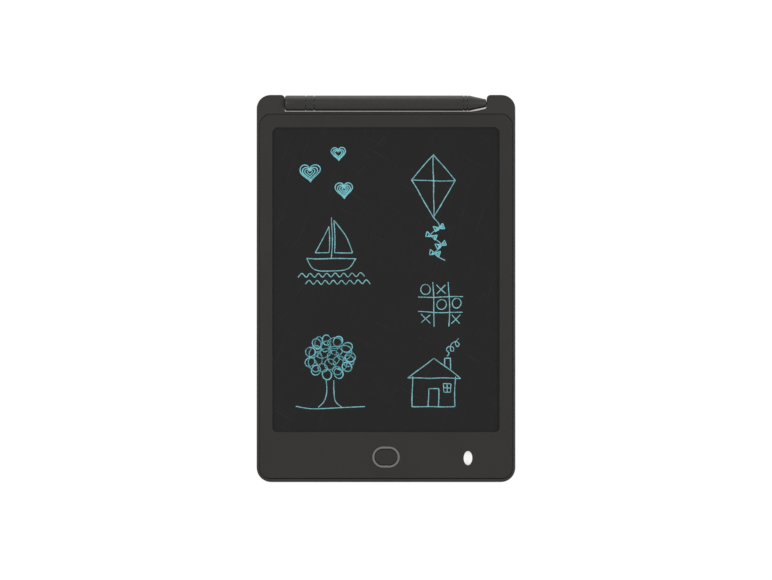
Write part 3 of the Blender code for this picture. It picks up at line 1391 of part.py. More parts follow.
def make_stylus():
    dark = plastic("stylus_plastic", 0.043, 0.043, 0.041, 0.36)
    spigot = STYLUS_RADIUS - STYLUS_WALL - STYLUS_FIT
    tail_end = STYLUS_TAIL_X + TAIL_CAP_LENGTH
    round_steps = range(SMALL_CORNER_STEPS + 1)
    turn = [QUARTER * i / SMALL_CORNER_STEPS for i in round_steps]
    rounding = [
        (
            STYLUS_RADIUS - TAIL_CAP_ROUND * (1 - math.cos(a)),
            STYLUS_TAIL_X + TAIL_CAP_ROUND * (1 - math.sin(a)),
        )
        for a in turn
    ]
    tail = [
        (0, tail_end + TAIL_SPIGOT - TAIL_BORE_DEPTH),
        (TAIL_BORE_RADIUS, tail_end + TAIL_SPIGOT - TAIL_BORE_DEPTH),
        (TAIL_BORE_RADIUS, tail_end + TAIL_SPIGOT),
        (spigot, tail_end + TAIL_SPIGOT),
        (spigot, tail_end),
        (STYLUS_RADIUS - STYLUS_EDGE, tail_end),
        (STYLUS_RADIUS, tail_end - STYLUS_EDGE),
    ]
    tail += rounding + [(0, STYLUS_TAIL_X)]
    stylus_piece("stylus_tail_cap", tail, dark)
    band = sleeve(BAND_START_X, BAND_START_X + TAIL_BAND_LENGTH)
    stylus_piece("stylus_tail_band", band, dark, ring=True)
    stylus_piece("stylus_barrel", sleeve(BARREL_START_X, BARREL_END_X), dark, ring=True)
    front_ring = sleeve(RING_START_X, RING_START_X + FRONT_RING_LENGTH)
    stylus_piece("stylus_front_ring", front_ring, dark, ring=True)
    shoulder_x = NOSE_START_X + NOSE_SHOULDER
    front_x = shoulder_x + NOSE_FRONT
    bore = NIB_RADIUS + NIB_FIT
    bore_end = NIB_END_X - NIB_LENGTH - NIB_FIT
    nose = [
        (0, bore_end),
        (bore, bore_end),
        (bore, NOSE_END_X),
        (NOSE_END_RADIUS - STYLUS_EDGE, NOSE_END_X),
        (NOSE_END_RADIUS, NOSE_END_X - STYLUS_EDGE),
        (NOSE_FRONT_RADIUS, front_x),
        (NOSE_SHOULDER_RADIUS, shoulder_x),
        (STYLUS_RADIUS, NOSE_START_X + STYLUS_EDGE),
        (STYLUS_RADIUS - STYLUS_EDGE, NOSE_START_X),
        (spigot, NOSE_START_X),
        (spigot, NOSE_START_X - NOSE_SPIGOT),
        (0, NOSE_START_X - NOSE_SPIGOT),
    ]
    stylus_piece("stylus_nose", nose, dark)
    tip = [
        (
            NIB_RADIUS - NIB_TIP_RADIUS * (1 - math.cos(a)),
            NIB_END_X - NIB_TIP_RADIUS * (1 - math.sin(a)),
        )
        for a in reversed(turn)
    ]
    nib_start = NIB_END_X - NIB_LENGTH
    nib = [(0, NIB_END_X)] + tip + [(NIB_RADIUS, nib_start), (0, nib_start)]
    stylus_piece("stylus_nib", nib, plastic("nib_plastic", 0.05, 0.05, 0.05, 0.30))


clear_scene()
pieces = new_collection("LCD writing tablet")
tools = new_collection("Construction")
stylus_axis = bpy.data.objects.new("stylus_axis", None)
stylus_axis.location = (0, STYLUS_Y, STYLUS_Z)
pieces.objects.link(stylus_axis)

make_rear_case()
make_front_bezel()
make_screen()
make_film_tail()
make_button_ring()
make_erase_button()
make_tact_switch()
make_board()
make_board_screw("left", BOARD_SCREW_LEFT)
make_board_screw("right", BOARD_SCREW_RIGHT)
make_driver_chip()
make_power_parts()
make_lock()
make_coin_cell()
make_contacts()
make_battery_door()
make_door_screw()
make_stylus()
for piece in pieces.objects:
    if piece.type == "MESH" and piece.data.polygons:
        shade(piece)
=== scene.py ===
import math

import bmesh
import bpy
from mathutils import Euler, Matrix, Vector


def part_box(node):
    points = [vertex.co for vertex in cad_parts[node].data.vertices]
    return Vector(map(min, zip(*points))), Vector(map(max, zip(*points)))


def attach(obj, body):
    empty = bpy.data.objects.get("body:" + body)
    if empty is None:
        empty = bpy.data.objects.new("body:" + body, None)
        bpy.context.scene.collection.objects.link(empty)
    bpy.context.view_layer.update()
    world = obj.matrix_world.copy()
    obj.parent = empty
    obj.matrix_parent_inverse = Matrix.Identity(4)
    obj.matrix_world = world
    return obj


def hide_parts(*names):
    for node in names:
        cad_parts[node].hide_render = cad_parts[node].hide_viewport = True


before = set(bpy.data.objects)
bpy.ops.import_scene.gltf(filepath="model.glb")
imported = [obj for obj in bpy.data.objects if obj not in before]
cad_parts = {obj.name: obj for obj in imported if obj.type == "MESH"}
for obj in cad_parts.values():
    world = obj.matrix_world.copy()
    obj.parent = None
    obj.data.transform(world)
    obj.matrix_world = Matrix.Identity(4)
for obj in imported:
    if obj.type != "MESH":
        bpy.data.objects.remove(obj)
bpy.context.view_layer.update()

# Rear case: the shallow tray that makes the back, the rim and the two ears beside the stylus.
# Charcoal ABS, injection moulded in one piece. Its mould is spark eroded, which leaves a fine
# matt grain, and its rounded edges are painted a little darker as shade.
MM = 0.001
CASE_CHARCOAL = "32302f"
# Painted shade: the darker colour of the case's rounded edges.
CASE_EDGE_SHADE = "1d1c1b"
ABS_IOR = 1.53
ABS_GLINT = 0.36
ERODED_GRAIN = 0.55 * MM
ERODED_DEPTH = 0.02 * MM
FLOW_PATCH = 11 * MM
# Size of the noise flecks that break up the painted edge tone.
EDGE_FLECK = 2.4 * MM
HANDLING_PATCH = 30 * MM
# Nearly all of a noise texture lies in this span of its 0 to 1.
NOISE_SPAN = {"From Min": 0.3, "From Max": 0.7}
SMOOTHING_LIMIT = math.radians(38)
FLAT_LEAN, WALL_LEAN = 0.9999, 0.001
MERGE_REACH, SLIVER = 0.002 * MM, 0.0005 * MM
ROUNDING_LEAN = (0.08, 0.985)


def linear(hex_colour):
    """An sRGB hex value as linear red, green, blue and alpha."""
    channels = [int(hex_colour[i : i + 2], 16) / 255 for i in (0, 2, 4)]
    return [c / 12.92 if c <= 0.04045 else ((c + 0.055) / 1.055) ** 2.4 for c in channels] + [1.0]


def toned(hex_colour, share):
    """The same colour, lighter or darker by a share."""
    return [share * c for c in linear(hex_colour)[:3]] + [1.0]


def add(tree, kind, inputs=(), **settings):
    """Adds a node with its settings, its input values and its links.

    Sockets of one name go by number: a Mix node's share is 0, its numbers 2 and 3, its colours
    6 and 7.
    """
    made = tree.nodes.new(kind)
    for name, value in settings.items():
        setattr(made, name, value)
    for socket, value in dict(inputs).items():
        if isinstance(value, bpy.types.NodeSocket):
            tree.links.new(value, made.inputs[socket])
        else:
            made.inputs[socket].default_value = value
    return made


def new_finish(name, roughness, metallic=0.0, ior=1.5):
    """A material of one Principled shader, with the place of a point on the object beside it."""
    material = bpy.data.materials.new(name)
    material.use_nodes = True
    tree = material.node_tree
    shader = tree.nodes["Principled BSDF"]
    shader.inputs["Roughness"].default_value = roughness
    shader.inputs["Metallic"].default_value = metallic
    shader.inputs["IOR"].default_value = ior
    place = add(tree, "ShaderNodeTexCoord").outputs["Object"]
    return material, tree, shader, place


def moulded_abs(name, colour, painted_edge_tone, grain, depth, matt=0.5, gloss_drift=0.05, glint=ABS_GLINT):
    """Moulded ABS: an eroded grain, faint flow marks in the tone, handled patches, and rounded
    edges painted in the edge tone: painted shade when it is darker, a painted highlight when it is
    paler.
    """
    material, tree, shader, place = new_finish(name, matt, ior=ABS_IOR)
    shader.inputs["Specular IOR Level"].default_value = glint
    flow = add(
        tree,
        "ShaderNodeTexNoise",
        {"Vector": place, "Scale": 1 / FLOW_PATCH, "Detail": 3.0, "Roughness": 0.55},
    )
    body = add(
        tree,
        "ShaderNodeMix",
        {0: flow.outputs["Fac"], 6: toned(colour, 0.94), 7: toned(colour, 1.06)},
        data_type="RGBA",
    )
    edge_flecks = add(
        tree,
        "ShaderNodeTexNoise",
        {"Vector": place, "Scale": 1 / EDGE_FLECK, "Detail": 4.0, "Roughness": 0.7},
    )
    edge_share = add(
        tree,
        "ShaderNodeMapRange",
        {"Value": edge_flecks.outputs["Fac"], **NOISE_SPAN, "To Min": 0.12, "To Max": 0.4},
    )
    # The rounded edges are painted in the edge tone, flecked by noise: painted shade on the case,
    # bezel and stylus, a painted highlight on the ring.
    edge = add(tree, "ShaderNodeAttribute", attribute_name="painted_edge_mask")
    edge_paint = add(
        tree,
        "ShaderNodeMath",
        {0: edge_share.outputs["Result"], 1: edge.outputs["Fac"]},
        operation="MULTIPLY",
    )
    coat = add(
        tree,
        "ShaderNodeMix",
        {0: edge_paint.outputs["Value"], 6: body.outputs[2], 7: linear(painted_edge_tone)},
        data_type="RGBA",
    )
    tree.links.new(coat.outputs[2], shader.inputs["Base Color"])
    handled = add(
        tree,
        "ShaderNodeTexNoise",
        {"Vector": place, "Scale": 1 / HANDLING_PATCH, "Detail": 2.0},
    )
    sheen = add(
        tree,
        "ShaderNodeMapRange",
        {
            "Value": handled.outputs["Fac"],
            **NOISE_SPAN,
            "To Min": matt + gloss_drift,
            "To Max": matt - gloss_drift,
        },
    )
    tree.links.new(sheen.outputs["Result"], shader.inputs["Roughness"])
    pits = add(
        tree,
        "ShaderNodeTexNoise",
        {"Vector": place, "Scale": 1 / grain, "Detail": 3.0, "Roughness": 0.6},
    )
    bump = add(
        tree,
        "ShaderNodeBump",
        {"Strength": 0.5, "Distance": depth, "Height": pits.outputs["Fac"]},
    )
    tree.links.new(bump.outputs["Normal"], shader.inputs["Normal"])
    return material


def mark_edges(mesh, axis, leaning):
    """Marks the rounded edge strips, which take the painted edge tone, by how far they lean along
    an axis.
    """
    least, most = leaning
    edge_paint = mesh.attributes.new("painted_edge_mask", "FLOAT", "FACE")
    for face in mesh.polygons:
        edge_paint.data[face.index].value = 1.0 if least < abs(face.normal[axis]) < most else 0.0


def new_piece(name, mesh, material):
    """An object that shows a mesh in one material."""
    piece = bpy.data.objects.new(name, mesh)
    bpy.context.scene.collection.objects.link(piece)
    mesh.materials.clear()
    mesh.materials.append(material)
    return piece


def average(normals):
    """The direction midway between some normals."""
    total = Vector()
    for normal in normals:
        total += normal
    return total.normalized()


def shade_roundings(mesh):
    """Keeps flat faces and walls flat, and lets only the roundings between them turn."""
    corner_faces = {}
    for face in mesh.polygons:
        for index in face.vertices:
            corner_faces.setdefault(index, []).append(face.index)
    kinds = []
    for face in mesh.polygons:
        lean = abs(face.normal.z)
        kinds.append("flat" if lean > FLAT_LEAN else "wall" if lean < WALL_LEAN else "rounding")
    normals = []
    for face in mesh.polygons:
        for index in face.vertices:
            near = {"flat": [], "wall": [], "rounding": []}
            for other in corner_faces[index]:
                turned = mesh.polygons[other].normal
                if turned.angle(face.normal, 0.0) < SMOOTHING_LIMIT:
                    near[kinds[other]].append(turned)
            if kinds[face.index] == "flat":
                normals.append(face.normal.copy())
            elif kinds[face.index] == "wall":
                normals.append(average(near["wall"]))
            else:
                normals.append(average(near["flat"] or near["wall"] or near["rounding"]))
    mesh.normals_split_custom_set([tuple(n) for n in normals])


def smooth_copy(name, node, body, material, shift=None, round_ends=()):
    """A copy of a CAD node with its corners merged and its roundings shaded smooth."""
    shape = bmesh.new()
    shape.from_mesh(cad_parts[node].data)
    bmesh.ops.remove_doubles(shape, verts=shape.verts, dist=MERGE_REACH)
    bmesh.ops.dissolve_degenerate(shape, edges=shape.edges, dist=SLIVER)
    if round_ends:
        round_off(shape, round_ends)
    if shift:
        for corner in shape.verts:
            corner.co = shift(corner.co)
    mesh = bpy.data.meshes.new(name)
    shape.to_mesh(mesh)
    shape.free()
    mesh.shade_smooth()
    mark_edges(mesh, 2, ROUNDING_LEAN)
    shade_roundings(mesh)
    piece = new_piece(name, mesh, material)
    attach(piece, body)
    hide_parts(node)


RIM_ROUND = 5.25 * MM
RIM_MIDDLE = (66.75 * MM, 94.0 * MM)
RIM_EASE = 0.62 * MM
BAY_LEFT, FOOT_LEFT, FOOT_RIGHT = -58.3 * MM, 47.9 * MM, 48.4 * MM
SLOPE_LOW, SLOPE_HIGH = 99.9 * MM, 102.98 * MM
WALL_DROP, SLOPE_DROP, FOOT_STEP = 0.20 * MM, 0.44 * MM, 0.55 * MM
EAR_FACE, EAR_FLAT, EAR_BLEND = 57.4 * MM, 58.2 * MM, 60.2 * MM
EAR_STEP, BAY_CORNER_STEP = 0.23 * MM, 0.55 * MM
LOCK_Y = -96.5 * MM
LOCK_SLOT_ENDS = ((22.55 * MM, LOCK_Y, 1.55 * MM), (27.45 * MM, LOCK_Y, 1.55 * MM))


def eased(corner, middle, nearest, farthest, ease):
    """Draws two upper corners in, between two radii round their middles, so they turn wider."""
    arm = Vector((abs(corner.x) - middle[0], corner.y - middle[1]))
    moved = corner.copy()
    if min(arm) > 0 and nearest < arm.length < farthest:
        share = 1 - ease * math.sin(2 * math.atan2(arm.y, arm.x)) / arm.length
        moved.x = math.copysign(middle[0] + share * arm.x, corner.x)
        moved.y = middle[1] + share * arm.y
    return moved


def trimmed_tray(corner):
    """Eases the rim, lowers the bay's wall and slope, and brings the right ear to the nose."""
    moved = eased(corner, RIM_MIDDLE, 0.99 * RIM_ROUND, 1.01 * RIM_ROUND, RIM_EASE)
    if BAY_LEFT < corner.x < EAR_BLEND and SLOPE_LOW < corner.y < SLOPE_HIGH:
        moved.y -= SLOPE_DROP if corner.x > FOOT_RIGHT else WALL_DROP
        if FOOT_LEFT < corner.x < FOOT_RIGHT:
            moved.x += FOOT_STEP
    if EAR_FACE < corner.x < EAR_BLEND and corner.y > SLOPE_LOW:
        step = EAR_STEP if corner.y > SLOPE_HIGH else BAY_CORNER_STEP
        moved.x -= step * min(1.0, (EAR_BLEND - corner.x) / (EAR_BLEND - EAR_FLAT))
    return moved


def round_off(shape, ends):
    """Cuts the few flats of upright round ends finer, and sets the new points on the round."""
    for x, y, radius in ends:
        flats = []
        for edge in shape.edges:
            one, two = (Vector((v.co.x - x, v.co.y - y)) for v in edge.verts)
            on_end = max(abs(one.length - radius), abs(two.length - radius)) < MERGE_REACH
            if on_end and 0.1 * radius < (one - two).length < 0.9 * radius:
                flats.append(edge)
        made = bmesh.ops.subdivide_edges(shape, edges=flats, cuts=3)
        for point in made["geom_inner"]:
            if isinstance(point, bmesh.types.BMVert):
                arm = Vector((point.co.x - x, point.co.y - y)).normalized() * radius
                point.co.x, point.co.y = x + arm.x, y + arm.y


case_abs = moulded_abs(
    "charcoal_abs_spark_eroded", CASE_CHARCOAL, CASE_EDGE_SHADE, ERODED_GRAIN, ERODED_DEPTH
)
smooth_copy(
    "tray_with_ears", "rear_case", "tablet", case_abs, trimmed_tray, LOCK_SLOT_ENDS
)

# Lock slider and its switch: a ribbed knob that shuts the erase button off, seen on the back.
# The knob is the case's own ABS, pressed onto the lever of a small slide switch whose folded
# steel shell is nickel plated.
NICKEL = "b9b7b0"
NYLON_BLACK = "1c1c1d"
DRAWN_LINE = 0.35 * MM
DULL_PATCH = 2.5 * MM
SPECK_DEPTH = 0.01 * MM
KNOB_ENDS = ((22.55 * MM, LOCK_Y, 1.3 * MM), (24.95 * MM, LOCK_Y, 1.3 * MM))


def plated_metal(name, colour, roughness, stretch, depth):
    """Plated or rolled metal with faint lines drawn out along one direction."""
    material, tree, shader, place = new_finish(name, roughness, metallic=1.0)
    drawn = add(tree, "ShaderNodeMapping", {"Vector": place, "Scale": stretch})
    lines = add(
        tree,
        "ShaderNodeTexNoise",
        {"Vector": drawn.outputs["Vector"], "Scale": 1 / DRAWN_LINE, "Detail": 3.0},
    )
    dull = add(
        tree,
        "ShaderNodeTexNoise",
        {"Vector": place, "Scale": 1 / DULL_PATCH, "Detail": 3.0},
    )
    tone = add(
        tree,
        "ShaderNodeMix",
        {0: dull.outputs["Fac"], 6: linear(colour), 7: toned(colour, 0.8)},
        data_type="RGBA",
    )
    tree.links.new(tone.outputs[2], shader.inputs["Base Color"])
    gloss = add(
        tree,
        "ShaderNodeMapRange",
        {
            "Value": lines.outputs["Fac"],
            **NOISE_SPAN,
            "To Min": roughness - 0.03,
            "To Max": roughness + 0.05,
        },
    )
    tree.links.new(gloss.outputs["Result"], shader.inputs["Roughness"])
    bump = add(
        tree,
        "ShaderNodeBump",
        {"Strength": 0.4, "Distance": depth, "Height": lines.outputs["Fac"]},
    )
    tree.links.new(bump.outputs["Normal"], shader.inputs["Normal"])
    return material


def small_moulding(name, colour, roughness, speck, ior=ABS_IOR, drift=0.18):
    """A small moulded, fired or cast part: speckled colour, uneven gloss and a fine bump."""
    material, tree, shader, place = new_finish(name, roughness, ior=ior)
    specks = add(
        tree,
        "ShaderNodeTexNoise",
        {"Vector": place, "Scale": 1 / speck, "Detail": 3.0, "Roughness": 0.6},
    )
    tone = add(
        tree,
        "ShaderNodeMix",
        {0: specks.outputs["Fac"], 6: toned(colour, 1 - drift), 7: toned(colour, 1 + drift)},
        data_type="RGBA",
    )
    tree.links.new(tone.outputs[2], shader.inputs["Base Color"])
    gloss = add(
        tree,
        "ShaderNodeMapRange",
        {
            "Value": specks.outputs["Fac"],
            **NOISE_SPAN,
            "To Min": roughness - 0.05,
            "To Max": roughness + 0.08,
        },
    )
    tree.links.new(gloss.outputs["Result"], shader.inputs["Roughness"])
    bump = add(
        tree,
        "ShaderNodeBump",
        {"Strength": 0.3, "Distance": SPECK_DEPTH, "Height": specks.outputs["Fac"]},
    )
    tree.links.new(bump.outputs["Normal"], shader.inputs["Normal"])
    return material


def finish_node(material, *nodes):
    """Gives CAD nodes that keep their own shape a better material."""
    for node in nodes:
        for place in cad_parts[node].material_slots:
            place.material = material


smooth_copy(
    "lock_knob_ribbed", "lock_slider", "lock_knob", case_abs, round_ends=KNOB_ENDS
)
nickel_shell = plated_metal("nickel_plated_steel", NICKEL, 0.32, (1.0, 0.06, 1.0), 0.006 * MM)
black_nylon = small_moulding("black_glass_filled_nylon", NYLON_BLACK, 0.55, 0.4 * MM)
finish_node(nickel_shell, "lock_switch_body")
finish_node(black_nylon, "lock_switch_lever")

# Battery hatch: the door with its finger grooves, and the screw that children can't undo.
# The door is moulded in the case's ABS with two tongues on its far end, and its zinc plated
# steel screw stays captive in a boss.
BLACKENED_ZINC = "6d6c6a"

smooth_copy("hatch_door", "battery_door", "battery_hatch", case_abs)
zinc_screw = plated_metal(
    "black_zinc_plated_steel", BLACKENED_ZINC, 0.38, (1, 1, 0.1), 0.008 * MM
)
smooth_copy("hatch_screw", "battery_door_screw", "battery_hatch", zinc_screw)

# Coin cell and its contacts: a lithium cell of stamped stainless steel with a nylon seal.
# Two springs of nickel plated phosphor bronze reach in from the board, the lower one a leaf
# bent from strip and the upper one a blade that presses on the can's side.
STAINLESS = "c4c3be"
SPRING_BRONZE = "b08a56"

stamped_can = plated_metal("stamped_stainless_steel", STAINLESS, 0.26, (0.08, 1, 1), 0.002 * MM)
finish_node(stamped_can, "coin_cell_can", "coin_cell_cap")
finish_node(black_nylon, "coin_cell_seal")
bronze = plated_metal("rolled_phosphor_bronze", SPRING_BRONZE, 0.30, (0.06, 1, 1), 0.005 * MM)
finish_node(bronze, "negative_contact", "positive_contact")

# Circuit board and what is soldered to it: a small driver for the screen's erase pulse.
# Green solder mask over glass epoxy, with copper tracks that show as paler lines, a moulded
# epoxy chip, a ferrite coil, a fired ceramic capacitor and a glass diode.
MASK_GREEN = "16502f"
MASK_GREEN_WARM = "1a5a35"
TRACK_GREEN = "2f7a47"
CHIP_BLACK = "1a1b1c"
FERRITE_BROWN = "2b2725"
CERAMIC_TAN = "a58057"
DIODE_AMBER = "7a3418"
NYLON_CREAM = "d9d4c4"
TRACK_PITCH = 1.2 * MM
TRACK_WIDTH = 0.16 * MM
TRACK_RELIEF = 0.03 * MM
WEAVE_THREAD = 0.5 * MM


def solder_mask(name):
    """Solder mask over copper: tracks from a brick pattern, with the weave under both."""
    material, tree, shader, place = new_finish(name, 0.34)
    tracks = add(
        tree,
        "ShaderNodeTexBrick",
        {
            "Vector": place,
            "Color1": linear(MASK_GREEN),
            "Color2": linear(MASK_GREEN_WARM),
            "Mortar": linear(TRACK_GREEN),
            "Scale": 1.0,
            "Mortar Size": TRACK_WIDTH,
            "Mortar Smooth": 0.1,
            "Brick Width": 5.1 * TRACK_PITCH,
            "Row Height": TRACK_PITCH,
        },
    )
    tree.links.new(tracks.outputs["Color"], shader.inputs["Base Color"])
    weave = add(
        tree,
        "ShaderNodeTexVoronoi",
        {"Vector": place, "Scale": 1 / WEAVE_THREAD},
        distance="CHEBYCHEV",
    )
    relief = add(
        tree,
        "ShaderNodeMath",
        {0: weave.outputs["Distance"], 1: 0.25, 2: tracks.outputs["Fac"]},
        operation="MULTIPLY_ADD",
    )
    bump = add(
        tree,
        "ShaderNodeBump",
        {"Strength": 0.6, "Distance": TRACK_RELIEF, "Height": relief.outputs["Value"]},
    )
    tree.links.new(bump.outputs["Normal"], shader.inputs["Normal"])
    gloss = add(
        tree,
        "ShaderNodeMapRange",
        {"Value": tracks.outputs["Fac"], "To Min": 0.36, "To Max": 0.24},
    )
    tree.links.new(gloss.outputs["Result"], shader.inputs["Roughness"])
    return material


finish_node(solder_mask("green_solder_mask_on_epoxy"), "circuit_board")
epoxy = small_moulding("moulded_chip_epoxy", CHIP_BLACK, 0.62, 0.25 * MM)
finish_node(epoxy, "driver_chip", "tact_switch_body")
ferrite = small_moulding("wound_ferrite", FERRITE_BROWN, 0.7, 0.3 * MM, drift=0.3)
finish_node(ferrite, "boost_inductor")
ceramic = small_moulding("fired_ceramic", CERAMIC_TAN, 0.45, 0.35 * MM, ior=1.6)
finish_node(ceramic, "tank_capacitor")
amber_glass = small_moulding("amber_diode_glass", DIODE_AMBER, 0.15, 0.8 * MM, ior=1.5)
finish_node(amber_glass, "rectifier_diode")
natural_nylon = small_moulding("natural_nylon", NYLON_CREAM, 0.45, 0.5 * MM, drift=0.05)
finish_node(natural_nylon, "tact_switch_plunger")
finish_node(nickel_shell, "board_screw_left", "board_screw_right")

# Writing film: a laminate of two polyester sheets with liquid crystal between them.
# Its face is hard coated, so it is dark and satin with a few hairline scratches from the
# stylus, and under it lie the tape, a matt black sheet and an amber tail to the board.
FILM_DARK = "1c1c1c"
SCRATCH_GREY = "3a3b3b"
SHEET_BLACK = "161616"
TAPE_BLACK = "1b1b1b"
POLYIMIDE_AMBER = "a5641b"
FILM_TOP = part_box("writing_film")[1].z
FILM_GLINT = 0.36
FILM_ROUGHNESS = 0.30
CLOUD_PATCH = 24 * MM
SCRATCH_WIDTH = 0.45 * MM
SCRATCH_RUN = 26 * MM
ORANGE_PEEL = 1.8 * MM


def coated_film(name):
    """Hard coated polyester: soft cloudy tone, and scratches drawn coarse enough to show."""
    material, tree, shader, place = new_finish(name, FILM_ROUGHNESS)
    shader.inputs["Specular IOR Level"].default_value = FILM_GLINT
    cloud = add(
        tree,
        "ShaderNodeTexNoise",
        {"Vector": place, "Scale": 1 / CLOUD_PATCH, "Detail": 3.0, "Roughness": 0.5},
    )
    tone = add(
        tree,
        "ShaderNodeMix",
        {0: cloud.outputs["Fac"], 6: toned(FILM_DARK, 0.93), 7: toned(FILM_DARK, 1.07)},
        data_type="RGBA",
    )
    hair = None
    for turn, stretch in ((0.5, SCRATCH_RUN), (-0.9, 0.7 * SCRATCH_RUN), (1.9, 1.3 * SCRATCH_RUN)):
        turned_place = add(
            tree,
            "ShaderNodeMapping",
            {"Vector": place, "Rotation": Euler((0, 0, turn))},
        )
        long_place = add(
            tree,
            "ShaderNodeMapping",
            {"Vector": turned_place.outputs["Vector"], "Scale": (SCRATCH_WIDTH / stretch, 1, 1)},
        )
        lines = add(
            tree,
            "ShaderNodeTexNoise",
            {"Vector": long_place.outputs["Vector"], "Scale": 1 / SCRATCH_WIDTH, "Detail": 1.0},
        )
        thin = add(
            tree,
            "ShaderNodeMapRange",
            {"Value": lines.outputs["Fac"], "From Min": 0.70, "From Max": 0.78},
        )
        if hair is None:
            hair = thin.outputs["Result"]
        else:
            hair = add(
                tree, "ShaderNodeMath", {0: hair, 1: thin.outputs["Result"]}, operation="MAXIMUM"
            ).outputs["Value"]
    marked = add(tree, "ShaderNodeMath", {0: hair, 1: 0.35}, operation="MULTIPLY")
    face = add(
        tree,
        "ShaderNodeMix",
        {0: marked.outputs["Value"], 6: tone.outputs[2], 7: linear(SCRATCH_GREY)},
        data_type="RGBA",
    )
    tree.links.new(face.outputs[2], shader.inputs["Base Color"])
    gloss = add(
        tree,
        "ShaderNodeMath",
        {0: hair, 1: 0.18, 2: FILM_ROUGHNESS},
        operation="MULTIPLY_ADD",
    )
    tree.links.new(gloss.outputs["Value"], shader.inputs["Roughness"])
    orange_peel = add(
        tree,
        "ShaderNodeTexNoise",
        {"Vector": place, "Scale": 1 / ORANGE_PEEL, "Detail": 1.0},
    )
    bump = add(
        tree,
        "ShaderNodeBump",
        {"Strength": 0.15, "Distance": 0.02 * MM, "Height": orange_peel.outputs["Fac"]},
    )
    tree.links.new(bump.outputs["Normal"], shader.inputs["Normal"])
    return material


finish_node(coated_film("hard_coated_polyester"), "writing_film")
matt_sheet = small_moulding("matt_black_polyester", SHEET_BLACK, 0.7, 0.6 * MM)
finish_node(matt_sheet, "film_backing_sheet")
foam_tape = small_moulding("black_foam_tape", TAPE_BLACK, 0.85, 0.5 * MM, drift=0.3)
finish_node(foam_tape, "film_tape_frame")
polyimide = small_moulding(
    "amber_polyimide", POLYIMIDE_AMBER, 0.3, 3 * MM, ior=1.7, drift=0.08
)
finish_node(polyimide, "film_flex_tail")

# Drawing on the film: where the tip has pressed, the liquid crystal turns pale turquoise.
# The lines lie in the film's face, so they are flat strokes as wide as the tip's contact,
# with a hand's wobble and changing pressure. The motifs are plain generic ones.
STROKE_WIDTH = 0.56 * MM
FIRM_WIDTH = 1.08 * STROKE_WIDTH
STROKE_RISE = 0.02 * MM
STROKE_STEP = 0.5 * MM
HAND_WOBBLE = 0.34 * MM
WOBBLE_LENGTH = 14 * MM
# A noise strays about a quarter from its middle, so this makes the wobble whole, and level.
WOBBLE_GAIN = (4.0, 4.0, 0.0)
PRESSURE_FLECK = 1.6 * MM
TURQUOISE = "88dde7"
TURQUOISE_THIN = "73bbc4"
PALE_TURQUOISE = "8fd2d9"
PALE_THIN = "6fa4a9"
GOLDEN_ANGLE = 2.39996


def lit_crystal(name, strong, weak):
    """Liquid crystal turned pale: brighter and thinner patches along a stroke."""
    material, tree, shader, place = new_finish(name, 0.34)
    patches = add(
        tree,
        "ShaderNodeTexNoise",
        {"Vector": place, "Scale": 1 / PRESSURE_FLECK, "Detail": 3.0, "Roughness": 0.65},
    )
    level = add(
        tree,
        "ShaderNodeMapRange",
        {"Value": patches.outputs["Fac"], "From Min": 0.35, "From Max": 0.62},
    )
    tone = add(
        tree,
        "ShaderNodeMix",
        {0: level.outputs["Result"], 6: linear(weak), 7: linear(strong)},
        data_type="RGBA",
    )
    tree.links.new(tone.outputs[2], shader.inputs["Base Color"])
    return material


def loop(x, y, across, up, turns=1.0, start=90.0, lean=0.0):
    """A hand-drawn round: points once or more round an oval, leaning by an angle."""
    count = max(10, int(26 * turns))
    c, s = math.cos(math.radians(lean)), math.sin(math.radians(lean))
    points = []
    for i in range(count + 1):
        a = math.radians(start + 360 * turns * i / count)
        px, py = across * math.cos(a), up * math.sin(a)
        points.append((x + px * c - py * s, y + px * s + py * c))
    return points


def shifted(points, x, y, scale=1.0):
    """The points of a line, scaled and moved."""
    return [(x + scale * px, y + scale * py) for px, py in points]


def placed(lines, place):
    """The lines of a motif, moved to its place on the film."""
    return [shifted(line, *place) for line in lines]


def curved(points, steps=7):
    """A smooth line through the points, for what a hand draws in one sweep."""
    ends = [points[0]] + list(points) + [points[-1]]
    line = []
    for p0, p1, p2, p3 in zip(ends, ends[1:], ends[2:], ends[3:]):
        for i in range(steps):
            t = i / steps
            line.append(
                tuple(
                    0.5
                    * (
                        2 * b
                        + (c - a) * t
                        + (2 * a - 5 * b + 4 * c - d) * t * t
                        + (3 * b - a - 3 * c + d) * t**3
                    )
                    for a, b, c, d in zip(p0, p1, p2, p3)
                )
            )
    return line + [points[-1]]


def heart_passes(x, y, size, passes):
    """A small heart gone over a few times, each pass a little smaller."""
    lines = []
    for k in range(passes):
        s = size * (1 - 0.25 * k)
        slip_x, slip_y = 0.25 * math.sin(3.1 * k), 0.2 * math.cos(2.3 * k)
        outline = []
        for i in range(33):
            a = 2 * math.pi * i / 32
            hx = 0.5 * math.sin(a) ** 3
            hy = 13 * math.cos(a) - 5 * math.cos(2 * a) - 2 * math.cos(3 * a) - math.cos(4 * a)
            outline.append((x + s * hx + slip_x, y + s * (hy / 32) + slip_y))
        lines.append(outline)
    return lines


thin_lines = []
heavy_lines = []

# The drawing's places are in millimetres from the middle of the tablet. First three hearts.
for heart in ((-43, 66, 11.5, 4), (-27, 77, 8.5, 3), (-24, 56, 10.0, 4)):
    heavy_lines += heart_passes(*heart)

